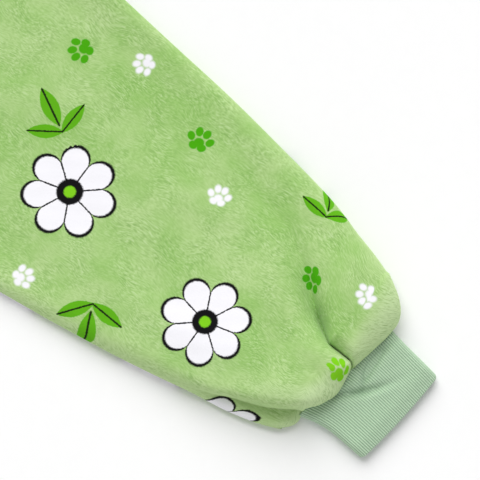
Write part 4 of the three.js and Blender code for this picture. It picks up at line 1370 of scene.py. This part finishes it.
class HoodieColours(bpy.types.PropertyGroup):
    """Colours a user may change."""
    plush_green: colour_property("Plush", "The plush's own green", "#98c46c")
    # The pale, tip and deep plush colours also paint sheen along the sleeve's folds, lower lobe and
    # lip, and shade in its crease
    plush_pale_and_painted_sheen: colour_property("Plush, pale nap", "Where the nap lies to the light", "#b2d28a")
    plush_tip_and_painted_sheen: colour_property("Plush, pile tips", "The tips of the pile", "#cbe2ac")
    plush_deep_and_painted_shade: colour_property("Plush, deep nap", "Between the pile's streaks", "#7aa656")
    print_green: colour_property("Green print", "Deep green paw prints", "#47a805")
    print_bright: colour_property("Bright print", "Bright green paw prints", "#7fce1c")
    print_white: colour_property("White print", "White motifs", "#f8f7fc")
    print_black: colour_property("Black print", "Black motifs", "#0a0a0c")
    leaf_bright: colour_property("Leaf", "Printed leaves", "#5fb015")
    leaf_dark: colour_property("Leaf midrib", "Printed midribs", "#182608")
    rib_green: colour_property("Rib", "The cuff's ribs", "#c6e0c2")
    # Painted shade between the ribs and in the cuff's creases
    rib_gap: colour_property("Rib gap", "Between the cuff's ribs", "#93b291")
    floor: colour_property("Floor", "The surface it lies on", "#ffffff")
    floor_shade: colour_property("Floor tooth", "The paper's faint unevenness", "#e7e7e7")


class HOODIE_OT_body(bpy.types.Operator):
    """Makes the front and back panels"""
    bl_idname = "hoodie.body"
    bl_label = "Body panels"

    def execute(self, context):
        wall, lumps = plush_sizes(context)
        plush = hoodie_plush(context)
        for name, is_front, node, shift, area, rests_on in (
            ("front_panel", True, "body_front", (0, 60), 0.69, ["back_panel"]),
            ("back_panel", False, "body_back", (0, 200), 0.70, ["floor"]),
        ):
            made = body_panel(is_front, wall, lumps)
            piece = make_piece(name, made, False, shift, nap_lie=0)
            dress(piece, node, plush)
        return {"FINISHED"}


class HOODIE_OT_sleeves(bpy.types.Operator):
    """Makes both sleeves"""
    bl_idname = "hoodie.sleeves"
    bl_label = "Sleeves"

    def execute(self, context):
        plush = hoodie_plush(context)
        made, lie = sleeve(*plush_sizes(context))
        for name, mirrored, node, shift in (
            ("left_sleeve", False, "sleeve_left", (0, 0)),
            ("right_sleeve", True, "sleeve_right", (170, 90)),
        ):
            piece = make_piece(name, made, mirrored, shift, nap_lie=lie)
            dress(piece, node, plush)
        return {"FINISHED"}


class HOODIE_OT_cuffs(bpy.types.Operator):
    """Makes both rib cuffs"""
    bl_idname = "hoodie.cuffs"
    bl_label = "Rib cuffs"

    def execute(self, context):
        sizes = context.scene.hoodie_sizes
        rib_height = sizes.rib_height / MILLIMETRE
        made, gap = cuff(sizes.rib_count, rib_height, sizes.cuff_wall / MILLIMETRE)
        knit = rib_material(context.scene.hoodie_colours)
        for name, mirrored, node in (
            ("left_cuff", False, "cuff_left"),
            ("right_cuff", True, "cuff_right"),
        ):
            piece = make_piece(name, made, mirrored, (0, 0), rib_gap=gap)
            dress(piece, node, knit)
        return {"FINISHED"}


class HOODIE_OT_hood(bpy.types.Operator):
    """Makes the two halves of the hood"""
    bl_idname = "hoodie.hood"
    bl_label = "Hood"

    def execute(self, context):
        plush = hoodie_plush(context)
        made = hood_half(*plush_sizes(context))
        for name, mirrored, node, shift in (
            ("left_hood", False, "hood_left", (40, 20)),
            ("right_hood", True, "hood_right", (220, 130)),
        ):
            piece = make_piece(name, made, mirrored, shift, nap_lie=0)
            dress(piece, node, plush)
        return {"FINISHED"}


class HOODIE_OT_stage(bpy.types.Operator):
    """Makes the floor, the lights and the camera"""
    bl_idname = "hoodie.stage"
    bl_label = "Stage"

    def execute(self, context):
        scene = context.scene
        half = scene.hoodie_sizes.floor_size / 2
        mesh = bpy.data.meshes.new("floor")
        corners = [(-half, -half), (half, -half), (half, half), (-half, half)]
        mesh.from_pydata([(x, y, -FLOOR_DROP) for x, y in corners], [], [(0, 1, 2, 3)])
        floor = bpy.data.objects.new("floor", mesh)
        scene.collection.objects.link(floor)
        mesh.materials.append(floor_material(scene.hoodie_colours))

        right = Vector((math.cos(CAMERA_TURN), math.sin(CAMERA_TURN), 0))
        up = Vector((-math.sin(CAMERA_TURN), math.cos(CAMERA_TURN), 0))
        back = Vector((0, 0, 1)) * math.cos(CAMERA_TILT) - up * math.sin(CAMERA_TILT)
        camera = bpy.data.cameras.new("camera")
        camera.sensor_width = SENSOR_WIDTH
        camera.lens = SENSOR_WIDTH * CAMERA_DISTANCE / VIEW_WIDTH
        holder = bpy.data.objects.new("camera", camera)
        scene.collection.objects.link(holder)
        axes = Matrix((right, back.cross(right), back)).transposed().to_4x4()
        axes.translation = VIEW_CENTRE + back * CAMERA_DISTANCE
        holder.matrix_world = axes
        scene.camera = holder

        # A broad soft light from beyond the picture's top edge, and a low fill from below it
        for name, energy, angle, (to_right, to_top, to_sky) in LIGHTS:
            towards = right * to_right + up * to_top + Vector((0, 0, to_sky))
            light = bpy.data.lights.new(name, "SUN")
            light.energy = energy
            light.angle = math.radians(angle)
            lamp = bpy.data.objects.new(name, light)
            scene.collection.objects.link(lamp)
            lamp.location = VIEW_CENTRE + towards * 2
            lamp.rotation_euler = (-towards).to_track_quat("-Z", "Y").to_euler()
        world = bpy.data.worlds.new("studio")
        world.use_nodes = True
        sky = world.node_tree.nodes["Background"]
        sky.inputs["Color"].default_value = hex_colour("#ffffff")
        sky.inputs["Strength"].default_value = SKY_STRENGTH
        scene.world = world
        scene.view_settings.view_transform = "Standard"
        return {"FINISHED"}


OPERATORS = (
    HOODIE_OT_body,
    HOODIE_OT_sleeves,
    HOODIE_OT_cuffs,
    HOODIE_OT_hood,
    HOODIE_OT_stage,
)


class HOODIE_PT_panel(bpy.types.Panel):
    """Sizes, colours and pieces of the hoodie"""
    bl_idname = "HOODIE_PT_panel"
    bl_label = "Blanket hoodie"
    bl_space_type = "VIEW_3D"
    bl_region_type = "UI"
    bl_category = "Hoodie"

    def draw(self, context):
        for group in (context.scene.hoodie_sizes, context.scene.hoodie_colours):
            for name in group.__annotations__:
                self.layout.prop(group, name)
        for operator in OPERATORS:
            self.layout.operator(operator.bl_idname)


CLASSES = (HoodieSizes, HoodieColours, *OPERATORS, HOODIE_PT_panel)


def register():
    for made in CLASSES:
        bpy.utils.register_class(made)
    bpy.types.Scene.hoodie_sizes = bpy.props.PointerProperty(type=HoodieSizes)
    bpy.types.Scene.hoodie_colours = bpy.props.PointerProperty(type=HoodieColours)


def unregister():
    del bpy.types.Scene.hoodie_colours
    del bpy.types.Scene.hoodie_sizes
    for made in reversed(CLASSES):
        bpy.utils.unregister_class(made)


def main():
    register()
    bpy.ops.hoodie.body()
    bpy.ops.hoodie.sleeves()
    bpy.ops.hoodie.cuffs()
    bpy.ops.hoodie.hood()
    bpy.ops.hoodie.stage()


if __name__ == "__main__":
    main()
